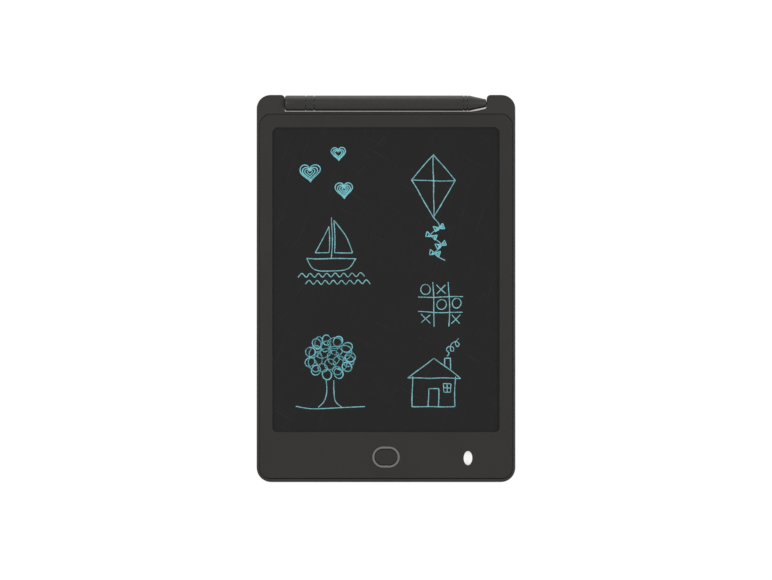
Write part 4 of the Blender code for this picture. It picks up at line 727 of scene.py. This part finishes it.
# A kite, with bows on its tail.
kite_place = (27, 57)
kite = [
    [(0, 19), (12.5, 4.5), (0, -17), (-12.5, 4.5), (0.4, 19.2)],
    [(0, 19), (0.3, -17)],
    [(-12.5, 4.5), (12.5, 4.2)],
    curved([(0, -17), (3.5, -22), (-1.5, -27), (4.5, -32), (0.5, -37), (6.5, -41)]),
]
thin_lines += placed(kite, kite_place)
bow = [(0, 0), (-2.9, 1.7), (-2.7, -1.6), (0, 0), (2.9, 1.6), (2.8, -1.7), (0.1, 0)]
for x, y, lean in ((3.2, -22.2, 20), (-1.2, -27.1, -18), (4.2, -32.1, 24), (1.1, -37, -10)):
    c, s = math.cos(math.radians(lean)), math.sin(math.radians(lean))
    turned_bow = [(c * bx - s * by, s * bx + c * by) for bx, by in bow]
    heavy_lines.append(shifted(turned_bow, kite_place[0] + x, kite_place[1] + y))
    heavy_lines.append(shifted(turned_bow, kite_place[0] + x + 0.3, kite_place[1] + y - 0.3, 0.6))

# A boat with two sails, on two rows of waves.
boat = [
    curved([(-14, 0), (-9.5, -6), (0, -7.2), (9.5, -6), (14, 0)]),
    [(-14, 0), (14.2, -0.2)],
    [(0, 0), (0.2, 23)],
    curved([(1.6, 21.5), (8, 13), (12, 3.2)]) + [(1.6, 3.0), (1.6, 21.5)],
    [(-1.5, 18), (-9.5, 3.4), (-1.5, 3.2), (-1.5, 18)],
]
for left, right, water in ((-19, 19, -9.5), (-15, 22, -13.5)):
    wave = []
    for i in range(17):
        crest = 1.1 if i % 2 else -1.1
        wave.append((left + (right - left) * i / 16, water + crest))
    boat.append(curved(wave))
thin_lines += placed(boat, (-31, 17))

# A grid of noughts and crosses.
grid_place = (31, -9)
for offset in (-4.2, 4.4):
    upright = [(offset, 12.5), (offset + 0.5, -12.5)]
    level = [(-12.5, offset), (12.5, offset - 0.4)]
    thin_lines += placed([upright, level], grid_place)
for x, y in ((-8.4, 8.6), (0.3, 0.1), (8.8, 0.4)):
    thin_lines.append(loop(grid_place[0] + x, grid_place[1] + y, 2.6, 2.7, 1.04, 70))
for x, y in ((0.2, 8.6), (8.7, -8.3), (-8.3, -8.2)):
    falling = [(x - 2.5, y + 2.5), (x + 2.5, y - 2.6)]
    rising = [(x + 2.6, y + 2.4), (x - 2.4, y - 2.5)]
    thin_lines += placed([falling, rising], grid_place)

# A tree, whose leaves are rounds scribbled from its middle outwards, on a line of ground.
tree_top = (-32, -39)
trunk_and_ground = [
    curved([(-2.2, -13), (-2.0, -19), (-3.2, -25), (-6.5, -28.5)]),
    curved([(2.2, -13), (2.1, -19), (3.4, -25), (7, -28.5)]),
    curved([(-19, -28), (-8, -29.2), (6, -28.8), (20, -28.2)]),
]
thin_lines += placed(trunk_and_ground, tree_top)
for k in range(15):
    a = GOLDEN_ANGLE * k
    reach = 10.2 * math.sqrt((k + 0.6) / 15)
    size_x = 3.3 + 1.1 * math.sin(1.7 * k)
    size_y = 3.1 + 0.9 * math.cos(2.3 * k)
    round_x = tree_top[0] + 1.12 * reach * math.cos(a)
    round_y = tree_top[1] + 0.95 * reach * math.sin(a)
    heavy_lines.append(loop(round_x, round_y, size_x, size_y, 2.1, 37 * k, 25 * k))
for k in range(11):
    a = 2 * math.pi * k / 11
    round_x = tree_top[0] + 11.6 * math.cos(a)
    round_y = tree_top[1] + 9.9 * math.sin(a)
    heavy_lines.append(loop(round_x, round_y, 2.9, 2.5, 1.4, 60 * k, 360 * k / 11))

# A house with a smoking chimney.
smoke = [(7.7, 19.6), (8.8, 21.4), (7.4, 23.0), (8.6, 24.8), (11.2, 24.6), (11.4, 22.6)]
smoke += [(9.8, 22.8), (10.2, 26.0), (12.8, 27.6), (14.8, 26.2), (13.6, 24.8), (12.6, 26.8)]
smoke += [(14.6, 29.4)]
house = [
    [(-12, 8), (-12.2, -9), (12, -9.3), (12.2, 8)],
    [(-15, 7), (0, 18.5), (15.2, 7), (-15, 7.2)],
    [(-3, -9), (-3, 1), (2.6, 1.2), (2.7, -9)],
    [(5.4, 3.9), (9.7, 4), (9.6, -0.6), (5.5, -0.7), (5.4, 4.1)],
    [(7.5, 4), (7.6, -0.6)],
    [(5.5, 1.7), (9.6, 1.6)],
    [(6.2, 14.0), (6.2, 18.4), (9.4, 18.5), (9.4, 11.6)],
    curved(smoke),
]
thin_lines += placed(house, (27, -58))


def stroke_tree():
    """Geometry nodes that draw flat strokes along curves, with wobble and pressure."""
    tree = bpy.data.node_groups.new("drawn_stroke", "GeometryNodeTree")
    sockets = {}
    for name, kind in (
        ("Lines", "NodeSocketGeometry"),
        ("Stroke width", "NodeSocketFloat"),
        ("Stroke rise", "NodeSocketFloat"),
        ("Step", "NodeSocketFloat"),
        ("Wobble", "NodeSocketFloat"),
        ("Wobble length", "NodeSocketFloat"),
        ("Face height", "NodeSocketFloat"),
        ("Seed", "NodeSocketFloat"),
        ("Material", "NodeSocketMaterial"),
    ):
        made = tree.interface.new_socket(name=name, in_out="INPUT", socket_type=kind)
        sockets[name] = made.identifier
    tree.interface.new_socket(name="Strokes", in_out="OUTPUT", socket_type="NodeSocketGeometry")
    given = add(tree, "NodeGroupInput").outputs
    evenly = add(
        tree,
        "GeometryNodeResampleCurve",
        {"Curve": given["Lines"], "Length": given["Step"]},
        mode="LENGTH",
    )
    place = add(tree, "GeometryNodeInputPosition").outputs["Position"]
    seeded = add(
        tree,
        "ShaderNodeCombineXYZ",
        {"X": given["Seed"], "Y": given["Seed"], "Z": given["Seed"]},
    )
    per_length = add(
        tree, "ShaderNodeMath", {0: 1.0, 1: given["Wobble length"]}, operation="DIVIDE"
    )
    scaled = add(
        tree,
        "ShaderNodeVectorMath",
        {0: place, "Scale": per_length.outputs["Value"]},
        operation="SCALE",
    )
    moved = add(
        tree,
        "ShaderNodeVectorMath",
        {0: scaled.outputs["Vector"], 1: seeded.outputs["Vector"]},
        operation="ADD",
    )
    drift = add(
        tree, "ShaderNodeTexNoise", {"Vector": moved.outputs["Vector"], "Scale": 1.0, "Detail": 0.0}
    )
    centred = add(
        tree,
        "ShaderNodeVectorMath",
        {0: drift.outputs["Color"], 1: (0.5, 0.5, 0.5)},
        operation="SUBTRACT",
    )
    flat = add(
        tree,
        "ShaderNodeVectorMath",
        {0: centred.outputs["Vector"], 1: WOBBLE_GAIN},
        operation="MULTIPLY",
    )
    wobble = add(
        tree,
        "ShaderNodeVectorMath",
        {0: flat.outputs["Vector"], "Scale": given["Wobble"]},
        operation="SCALE",
    )
    hand = add(
        tree,
        "GeometryNodeSetPosition",
        {"Geometry": evenly.outputs["Curve"], "Offset": wobble.outputs["Vector"]},
    )
    press = add(tree, "ShaderNodeTexNoise", {"Vector": moved.outputs["Vector"], "Scale": 2.3})
    share = add(
        tree,
        "ShaderNodeMapRange",
        {"Value": press.outputs["Fac"], **NOISE_SPAN, "To Min": 0.36, "To Max": 0.62},
    )
    half = add(
        tree,
        "ShaderNodeMath",
        {0: share.outputs["Result"], 1: given["Stroke width"]},
        operation="MULTIPLY",
    )
    pressed = add(
        tree,
        "GeometryNodeSetCurveRadius",
        {"Curve": hand.outputs["Geometry"], "Radius": half.outputs["Value"]},
    )
    profile = add(
        tree, "GeometryNodeCurvePrimitiveCircle", {"Resolution": 8, "Radius": 1.0}, mode="RADIUS"
    )
    radius = add(tree, "GeometryNodeInputRadius")
    tube = add(
        tree,
        "GeometryNodeCurveToMesh",
        {
            "Curve": pressed.outputs["Curve"],
            "Profile Curve": profile.outputs["Curve"],
            "Scale": radius.outputs["Radius"],
            "Fill Caps": True,
        },
    )
    corner = add(tree, "GeometryNodeInputPosition").outputs["Position"]
    parts = add(tree, "ShaderNodeSeparateXYZ", {"Vector": corner})
    above = add(
        tree,
        "ShaderNodeMath",
        {0: parts.outputs["Z"], 1: given["Face height"]},
        operation="SUBTRACT",
    )
    flattening = add(
        tree,
        "ShaderNodeMath",
        {0: given["Stroke rise"], 1: given["Stroke width"]},
        operation="DIVIDE",
    )
    low = add(
        tree,
        "ShaderNodeMath",
        {0: above.outputs["Value"], 1: flattening.outputs["Value"], 2: given["Face height"]},
        operation="MULTIPLY_ADD",
    )
    pressed_flat = add(
        tree,
        "ShaderNodeCombineXYZ",
        {"X": parts.outputs["X"], "Y": parts.outputs["Y"], "Z": low.outputs["Value"]},
    )
    ribbon = add(
        tree,
        "GeometryNodeSetPosition",
        {"Geometry": tube.outputs["Mesh"], "Position": pressed_flat.outputs["Vector"]},
    )
    real = add(tree, "GeometryNodeRealizeInstances", {"Geometry": ribbon.outputs["Geometry"]})
    coloured = add(
        tree,
        "GeometryNodeSetMaterial",
        {"Geometry": real.outputs["Geometry"], "Material": given["Material"]},
    )
    add(tree, "NodeGroupOutput", {"Strokes": coloured.outputs["Geometry"]})
    return tree, sockets


def draw_strokes(name, lines, tree, sockets, material, width, seed):
    """Runs the tree on some lines, and keeps its result as one plain mesh on the film."""
    curve = bpy.data.curves.new(name + "_path", "CURVE")
    curve.dimensions = "3D"
    for line in lines:
        spline = curve.splines.new("POLY")
        spline.points.add(len(line) - 1)
        for point, (x, y) in zip(spline.points, line):
            point.co = (x * MM, y * MM, FILM_TOP + STROKE_RISE, 1.0)
    path = bpy.data.objects.new(name + "_path", curve)
    bpy.context.scene.collection.objects.link(path)
    drawn = path.modifiers.new("drawn_stroke", "NODES")
    drawn.node_group = tree
    for socket, value in (
        ("Stroke width", width),
        ("Stroke rise", STROKE_RISE),
        ("Step", STROKE_STEP),
        ("Wobble", HAND_WOBBLE),
        ("Wobble length", WOBBLE_LENGTH),
        ("Face height", FILM_TOP + STROKE_RISE),
        ("Seed", seed),
        ("Material", material),
    ):
        drawn[sockets[socket]] = value
    ready = path.evaluated_get(bpy.context.evaluated_depsgraph_get())
    mesh = bpy.data.meshes.new_from_object(ready)
    mesh.name = name
    bpy.data.objects.remove(path, do_unlink=True)
    piece = new_piece(name, mesh, material)
    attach(piece, "tablet")


tree, sockets = stroke_tree()
pale = lit_crystal("lit_liquid_crystal_light_touch", PALE_TURQUOISE, PALE_THIN)
strong = lit_crystal("lit_liquid_crystal_firm_touch", TURQUOISE, TURQUOISE_THIN)
draw_strokes("drawing_light_lines", thin_lines, tree, sockets, pale, STROKE_WIDTH, seed=3.0)
draw_strokes("drawing_firm_lines", heavy_lines, tree, sockets, strong, FIRM_WIDTH, seed=8.0)

# Front bezel: the face plate that clips into the case and holds the film by its lip.
# The same charcoal ABS as the case, a shade warmer because it comes from another mould, and
# its window edge is softly rounded. Its rounded edges are painted a little darker as shade.
BEZEL_CHARCOAL = "2e2c2a"
# Painted shade: the darker colour of the face plate's rounded edges.
BEZEL_EDGE_SHADE = "292826"
BEZEL_GRAIN_DEPTH = 0.018 * MM
SIDE_GROWTH = 0.17 * MM
TOP_GROWTH = 0.10 * MM
CORNER_GROWTH = 0.30 * MM
SIDE_BLEND = 6.0 * MM
PLATE_EASE = 0.73 * MM
SKIRT_ROUND = 3.5 * MM
WINDOW_MIDDLE = (62.0 * MM, 89.0 * MM)
WINDOW_ROUND = 2.5 * MM
WINDOW_EASE = 0.46 * MM
WINDOW_EDGE = (0.99 * WINDOW_ROUND, 1.2 * WINDOW_ROUND, WINDOW_EASE)
plate_low, plate_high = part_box("front_bezel")


def towards_rim(corner):
    """Brings the plate's sides and top closer to the rim, and turns its corners wider."""
    corner = eased(corner, WINDOW_MIDDLE, *WINDOW_EDGE)
    across = max(0.0, (abs(corner.x) - plate_high.x + SIDE_BLEND) / SIDE_BLEND)
    up = max(0.0, (corner.y - plate_high.y + SIDE_BLEND) / SIDE_BLEND)
    down = max(0.0, (plate_low.y + SIDE_BLEND - corner.y) / SIDE_BLEND)
    grown = eased(corner, RIM_MIDDLE, SKIRT_ROUND, RIM_ROUND, PLATE_EASE)
    grown.x += math.copysign(SIDE_GROWTH * across, corner.x)
    grown.y += TOP_GROWTH * up - CORNER_GROWTH * across * down * (1 - across)
    return grown


bezel_abs = moulded_abs(
    "charcoal_abs_face_plate",
    BEZEL_CHARCOAL,
    BEZEL_EDGE_SHADE,
    ERODED_GRAIN,
    BEZEL_GRAIN_DEPTH,
    matt=0.47,
)
smooth_copy("face_plate", "front_bezel", "tablet", bezel_abs, towards_rim)

# Erase button and its ring: one press clears the film through the switch under it.
# The cap is moulded in the bezel's ABS, and the ring round it is a separate moulding painted
# satin grey, whose rounded edges are painted a little paler as a highlight.
RING_GREY = "7c7a77"
# Painted highlight: the paler colour of the ring's rounded edges.
RING_EDGE_HIGHLIGHT = "8c8a87"
PAINT_GRAIN = 0.35 * MM
PAINT_DEPTH = 0.008 * MM

ring_paint = moulded_abs(
    "satin_grey_paint_on_abs", RING_GREY, RING_EDGE_HIGHLIGHT, PAINT_GRAIN, PAINT_DEPTH, matt=0.36
)
smooth_copy("oval_ring", "button_ring", "tablet", ring_paint)
smooth_copy("erase_cap", "erase_button", "erase_key", bezel_abs)

# Stylus: a hollow pen of six turned pieces that rests in the bay between the ears.
# Satin black ABS with a finer grain than the case, moulded round and pushed together, so
# narrow grooves show at the joints. The nib is bare hard acetal, smooth from use.
STYLUS_CHARCOAL = "2b2a28"
# Painted shade: the slightly darker colour of the stylus's faces that turn towards its ends.
STYLUS_EDGE_SHADE = "2a2928"
ACETAL_BLACK = "262626"
STYLUS_GLINT = 0.6
STYLUS_GRAIN = 0.4 * MM
STYLUS_GRAIN_DEPTH = 0.01 * MM
STYLUS_RADIUS = 4.395 * MM
STYLUS_BORE = 3.175 * MM
SPIGOT_RADIUS = 3.025 * MM
COLLAR_RADIUS = 3.9 * MM
COLLAR_GAP = 0.02 * MM
GROOVE = 0.3 * MM
GROOVE_ROUND = 0.22 * MM
EDGE_ROUND = 0.15 * MM
STYLUS_SIDES = 96
ROUND_STEPS = 5
ON_AXIS = 0.0001 * MM
TURNED_LEAN = (0.15, 0.97)
STYLUS_REST = 0.11 * MM
nib_low, nib_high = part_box("stylus_nib")
STYLUS_Y = (nib_low.y + nib_high.y) / 2 - STYLUS_REST
STYLUS_Z = (nib_low.z + nib_high.z) / 2


def softened(outline, radius):
    """Rounds the corners of an outline that are given a radius, with a few points each."""
    soft = []
    for i, (x, r) in enumerate(outline):
        wanted = radius.get(i, 0.0)
        if not wanted:
            soft.append((x, r))
            continue
        here = Vector((x, r))
        before = (Vector(outline[i - 1]) - here).normalized()
        after = (Vector(outline[(i + 1) % len(outline)]) - here).normalized()
        half_angle = before.angle(after) / 2
        reach = wanted / math.tan(half_angle)
        middle = here + (before + after).normalized() * (wanted / math.sin(half_angle))
        first, last = here + before * reach, here + after * reach
        start, end = first - middle, last - middle
        for k in range(ROUND_STEPS + 1):
            mixed = start.lerp(end, k / ROUND_STEPS)
            soft.append(tuple(middle + mixed.normalized() * wanted))
    return soft


def turned_piece(name, node, outline, material, closed):
    """Turns an outline of (place along X, radius) points round the stylus axis."""
    shape = bmesh.new()
    rings = []
    for x, r in outline:
        if r < ON_AXIS:
            rings.append([shape.verts.new((x, STYLUS_Y, STYLUS_Z))])
            continue
        ring = []
        for k in range(STYLUS_SIDES):
            a = 2 * math.pi * k / STYLUS_SIDES
            y, z = STYLUS_Y + r * math.cos(a), STYLUS_Z + r * math.sin(a)
            ring.append(shape.verts.new((x, y, z)))
        rings.append(ring)
    pairs = list(zip(rings, rings[1:]))
    if closed:
        pairs.append((rings[-1], rings[0]))
    for one, two in pairs:
        for k in range(STYLUS_SIDES):
            n = (k + 1) % STYLUS_SIDES
            if len(one) == 1:
                shape.faces.new((one[0], two[n], two[k]))
            elif len(two) == 1:
                shape.faces.new((one[k], one[n], two[0]))
            else:
                shape.faces.new((one[k], one[n], two[n], two[k]))
    bmesh.ops.recalc_face_normals(shape, faces=shape.faces)
    mesh = bpy.data.meshes.new(name)
    shape.to_mesh(mesh)
    shape.free()
    mesh.shade_smooth()
    mesh.set_sharp_from_angle(angle=SMOOTHING_LIMIT)
    mark_edges(mesh, 0, TURNED_LEAN)
    piece = new_piece(name, mesh, material)
    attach(piece, "stylus")
    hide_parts(node)


def reach_of(node):
    """Where a CAD node starts and ends along the stylus."""
    low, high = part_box(node)
    return low.x, high.x


stylus_abs = moulded_abs(
    "satin_abs_stylus",
    STYLUS_CHARCOAL,
    STYLUS_EDGE_SHADE,
    STYLUS_GRAIN,
    STYLUS_GRAIN_DEPTH,
    matt=0.38,
    glint=STYLUS_GLINT,
)
tail_left, tail_spigot_end = reach_of("stylus_tail_cap")
band_left, band_right = reach_of("stylus_tail_band")
barrel_left, barrel_right = reach_of("stylus_barrel")
front_left, front_right = reach_of("stylus_front_ring")
nose_spigot_end, nose_tip = reach_of("stylus_nose")
nib_left, nib_right = reach_of("stylus_nib")
outer, bore, spigot, collar = STYLUS_RADIUS, STYLUS_BORE, SPIGOT_RADIUS, COLLAR_RADIUS

TAIL_REACH = 0.22 * MM
TAIL_ROUND = 1.15 * MM
tail = [(tail_left - TAIL_REACH, 0), (tail_left - TAIL_REACH, outer)]
tail += [(band_left - GROOVE, outer), (band_left - GROOVE, collar)]
tail += [(band_left - COLLAR_GAP, collar), (band_left - COLLAR_GAP, spigot)]
tail += [(tail_spigot_end, spigot), (tail_spigot_end, 0)]
turned_piece(
    "pen_tail_cap",
    "stylus_tail_cap",
    softened(tail, {1: TAIL_ROUND, 2: EDGE_ROUND, 6: GROOVE_ROUND}),
    stylus_abs,
    False,
)
for name, node, left, right in (
    ("pen_tail_band", "stylus_tail_band", band_left, band_right),
    ("pen_barrel", "stylus_barrel", barrel_left, barrel_right),
    ("pen_front_ring", "stylus_front_ring", front_left, front_right),
):
    sleeve = [(left, bore), (left, outer), (right, outer)]
    sleeve += [(right, collar), (right + GROOVE - COLLAR_GAP, collar)]
    sleeve += [(right + GROOVE - COLLAR_GAP, bore)]
    soft_sleeve = softened(sleeve, {1: EDGE_ROUND, 2: EDGE_ROUND})
    turned_piece(name, node, soft_sleeve, stylus_abs, True)

NOSE_BORE = 1.25 * MM
CONE_DELAY = 0.65 * MM
NOSE_END = 2.2 * MM
NOSE_PULL = 0.25 * MM
SHOULDER_ROUND, CONE_ROUND, NOSE_END_ROUND = 0.1 * MM, 1.0 * MM, 0.6 * MM
nose_start = front_right + GROOVE
nose_tip -= NOSE_PULL
nose = [(nose_spigot_end, NOSE_BORE), (nose_spigot_end, spigot), (nose_start, spigot)]
nose += [(nose_start, outer), (nose_start + CONE_DELAY, outer), (nose_tip, NOSE_END)]
nose += [(nose_tip, NOSE_BORE)]
turned_piece(
    "pen_nose",
    "stylus_nose",
    softened(nose, {1: GROOVE_ROUND, 3: SHOULDER_ROUND, 4: CONE_ROUND, 5: NOSE_END_ROUND}),
    stylus_abs,
    True,
)

NIB_RADIUS, NIB_TIP_RADIUS = 0.95 * MM, 0.5 * MM
NIB_TAPER = 0.9 * MM
NIB_SHOULDER_ROUND, NIB_TIP_ROUND = 0.4 * MM, 0.42 * MM
nib = [(nib_left, 0), (nib_left, NIB_RADIUS), (nib_right - NIB_TAPER, NIB_RADIUS)]
nib += [(nib_right, NIB_TIP_RADIUS), (nib_right, 0)]
acetal = small_moulding("polished_acetal", ACETAL_BLACK, 0.2, 0.6 * MM, ior=1.48)
turned_piece(
    "pen_nib",
    "stylus_nib",
    softened(nib, {2: NIB_SHOULDER_ROUND, 3: NIB_TIP_ROUND}),
    acetal,
    False,
)

# Studio: a pale sweep that the camera sees as white, with the tablet's shadow kept and a
# painted shade, a greyer tone, where the floor is shut in. Soft boxes at the left and right
# light the tablet clear of the camera's mirror direction, so dark plastic keeps its tone, and a
# dome fills in.
PAPER_WHITE = "e9e9e8"
# Painted shade: the grey the camera sees of the floor in slits and gaps, set by ambient occlusion.
SLIT_PAINTED_SHADE = "b1aea9"
PAPER_FIBRE = 1.5 * MM
FLOOR_HALF = 3.0
FLOOR_DROP = 0.2 * MM
# What the camera sees of the open floor, and the share of light that keeps its shadow, linear.
OPEN_WHITE = (0.93, 0.93, 0.93, 1.0)
KEPT_SHADOW = (0.16, 0.16, 0.16, 1.0)
# How far round a point the floor looks for walls, and the openness of a slit and of a clear place,
# between which the painted shade fades to white.
SLIT_REACH = 5 * MM
SHUT_IN, IN_THE_OPEN = 0.21, 0.30
HORIZON_LEVEL, ZENITH_LEVEL = 0.46, 0.385
# Each glow of the dome: where it starts and where it is full along Y, and what it adds there.
TOP_EDGE_GLOW = (0.955, 1.0, 2.6)
FOOT_GLOW = (-0.2, -1.0, 0.10)
SHOULDER_GLOW = (0.25, 0.8, 0.16)

floor_mesh = bpy.data.meshes.new("studio_floor")
signs = ((-1, -1), (1, -1), (1, 1), (-1, 1))
corners = [(FLOOR_HALF * x, FLOOR_HALF * y, -FLOOR_DROP) for x, y in signs]
floor_mesh.from_pydata(corners, [], [(0, 1, 2, 3)])
paper, tree, shader, place = new_finish("white_paper_sweep", 0.9)
shader.inputs["Base Color"].default_value = linear(PAPER_WHITE)
shader.inputs["Specular IOR Level"].default_value = 0.0
fibre = add(tree, "ShaderNodeTexNoise", {"Vector": place, "Scale": 1 / PAPER_FIBRE, "Detail": 3.0})
bump = add(
    tree,
    "ShaderNodeBump",
    {"Strength": 0.1, "Distance": 0.02 * MM, "Height": fibre.outputs["Fac"]},
)
tree.links.new(bump.outputs["Normal"], shader.inputs["Normal"])
rays = add(tree, "ShaderNodeLightPath")
seen = rays.outputs["Is Camera Ray"]
for ray in ("Is Glossy Ray", "Is Transmission Ray"):
    either = add(tree, "ShaderNodeMath", {0: seen, 1: rays.outputs[ray]}, operation="MAXIMUM")
    seen = either.outputs["Value"]
kept_shadow = add(tree, "ShaderNodeBsdfDiffuse", {"Color": KEPT_SHADOW})
closed_in = add(tree, "ShaderNodeAmbientOcclusion", {"Distance": SLIT_REACH}, samples=16)
clear = add(
    tree,
    "ShaderNodeMapRange",
    {"Value": closed_in.outputs["AO"], "From Min": SHUT_IN, "From Max": IN_THE_OPEN},
)
floor_with_painted_shade = add(
    tree,
    "ShaderNodeMix",
    {0: clear.outputs["Result"], 6: linear(SLIT_PAINTED_SHADE), 7: OPEN_WHITE},
    data_type="RGBA",
)
white = add(tree, "ShaderNodeEmission", {"Color": floor_with_painted_shade.outputs[2], "Strength": 1.0})
lit_white = add(tree, "ShaderNodeAddShader", {0: kept_shadow.outputs[0], 1: white.outputs[0]})
sweep = add(
    tree,
    "ShaderNodeMixShader",
    {0: seen, 1: shader.outputs["BSDF"], 2: lit_white.outputs[0]},
)
tree.links.new(sweep.outputs[0], tree.nodes["Material Output"].inputs["Surface"])
new_piece("studio_floor", floor_mesh, paper)

dome = bpy.data.worlds.new("studio_dome")
bpy.context.scene.world = dome
dome.use_nodes = True
sky = dome.node_tree
up = add(sky, "ShaderNodeTexCoord").outputs["Generated"]
height = add(sky, "ShaderNodeSeparateXYZ", {"Vector": up})
fade = add(
    sky,
    "ShaderNodeMapRange",
    {"Value": height.outputs["Z"], "To Min": HORIZON_LEVEL, "To Max": ZENITH_LEVEL},
)
dome_level = fade.outputs["Result"]
for first, last, extra in (TOP_EDGE_GLOW, FOOT_GLOW, SHOULDER_GLOW):
    glow = add(
        sky,
        "ShaderNodeMapRange",
        {"Value": height.outputs["Y"], "From Min": first, "From Max": last, "To Max": extra},
    )
    both = add(sky, "ShaderNodeMath", {0: dome_level, 1: glow.outputs["Result"]}, operation="ADD")
    dome_level = both.outputs["Value"]
rays = add(sky, "ShaderNodeLightPath")
dome_light = add(
    sky,
    "ShaderNodeMix",
    {0: rays.outputs["Is Camera Ray"], 2: dome_level, 3: 1.0},
    data_type="FLOAT",
)
background = sky.nodes["Background"]
sky.links.new(dome_light.outputs[0], background.inputs["Strength"])
background.inputs["Color"].default_value = (1, 1, 1, 1)

for name, place, size, power in (
    ("soft_box_left", (-0.95, 0.20, 1.15), 0.8, 5.8),
    ("soft_box_right", (1.20, 0.15, 0.72), 0.5, 8.1),
):
    lamp = bpy.data.lights.new(name, "AREA")
    lamp.size = size
    lamp.energy = power
    stand = bpy.data.objects.new(name, lamp)
    stand.location = place
    stand.rotation_euler = (-Vector(place)).to_track_quat("-Z", "Y").to_euler()
    bpy.context.scene.collection.objects.link(stand)

# Camera: it looks straight down on the tablet, as the photograph does, through a long lens.
# The photograph is 772 x 580 pixels, 0.5685 mm of the tablet falls on each at half its height,
# and the tablet's middle lies 1.5 pixels above the photograph's.
PIXEL = 0.5685 * MM
PHOTO_WIDTH = 772
AIM_BELOW = 1.5 * PIXEL
LENS = 500.0
SENSOR = 36.0
HALF_HEIGHT = 3.5 * MM
CLIP_END = 20

camera = bpy.data.cameras.new("camera")
camera.lens = LENS
camera.sensor_width = SENSOR
camera.sensor_fit = "HORIZONTAL"
camera.clip_end = CLIP_END
viewer = bpy.data.objects.new("camera", camera)
distance = PHOTO_WIDTH * PIXEL * LENS / SENSOR
viewer.location = (0, -AIM_BELOW, HALF_HEIGHT + distance)
bpy.context.scene.collection.objects.link(viewer)
bpy.context.scene.camera = viewer
bpy.context.scene.view_settings.view_transform = "Standard"
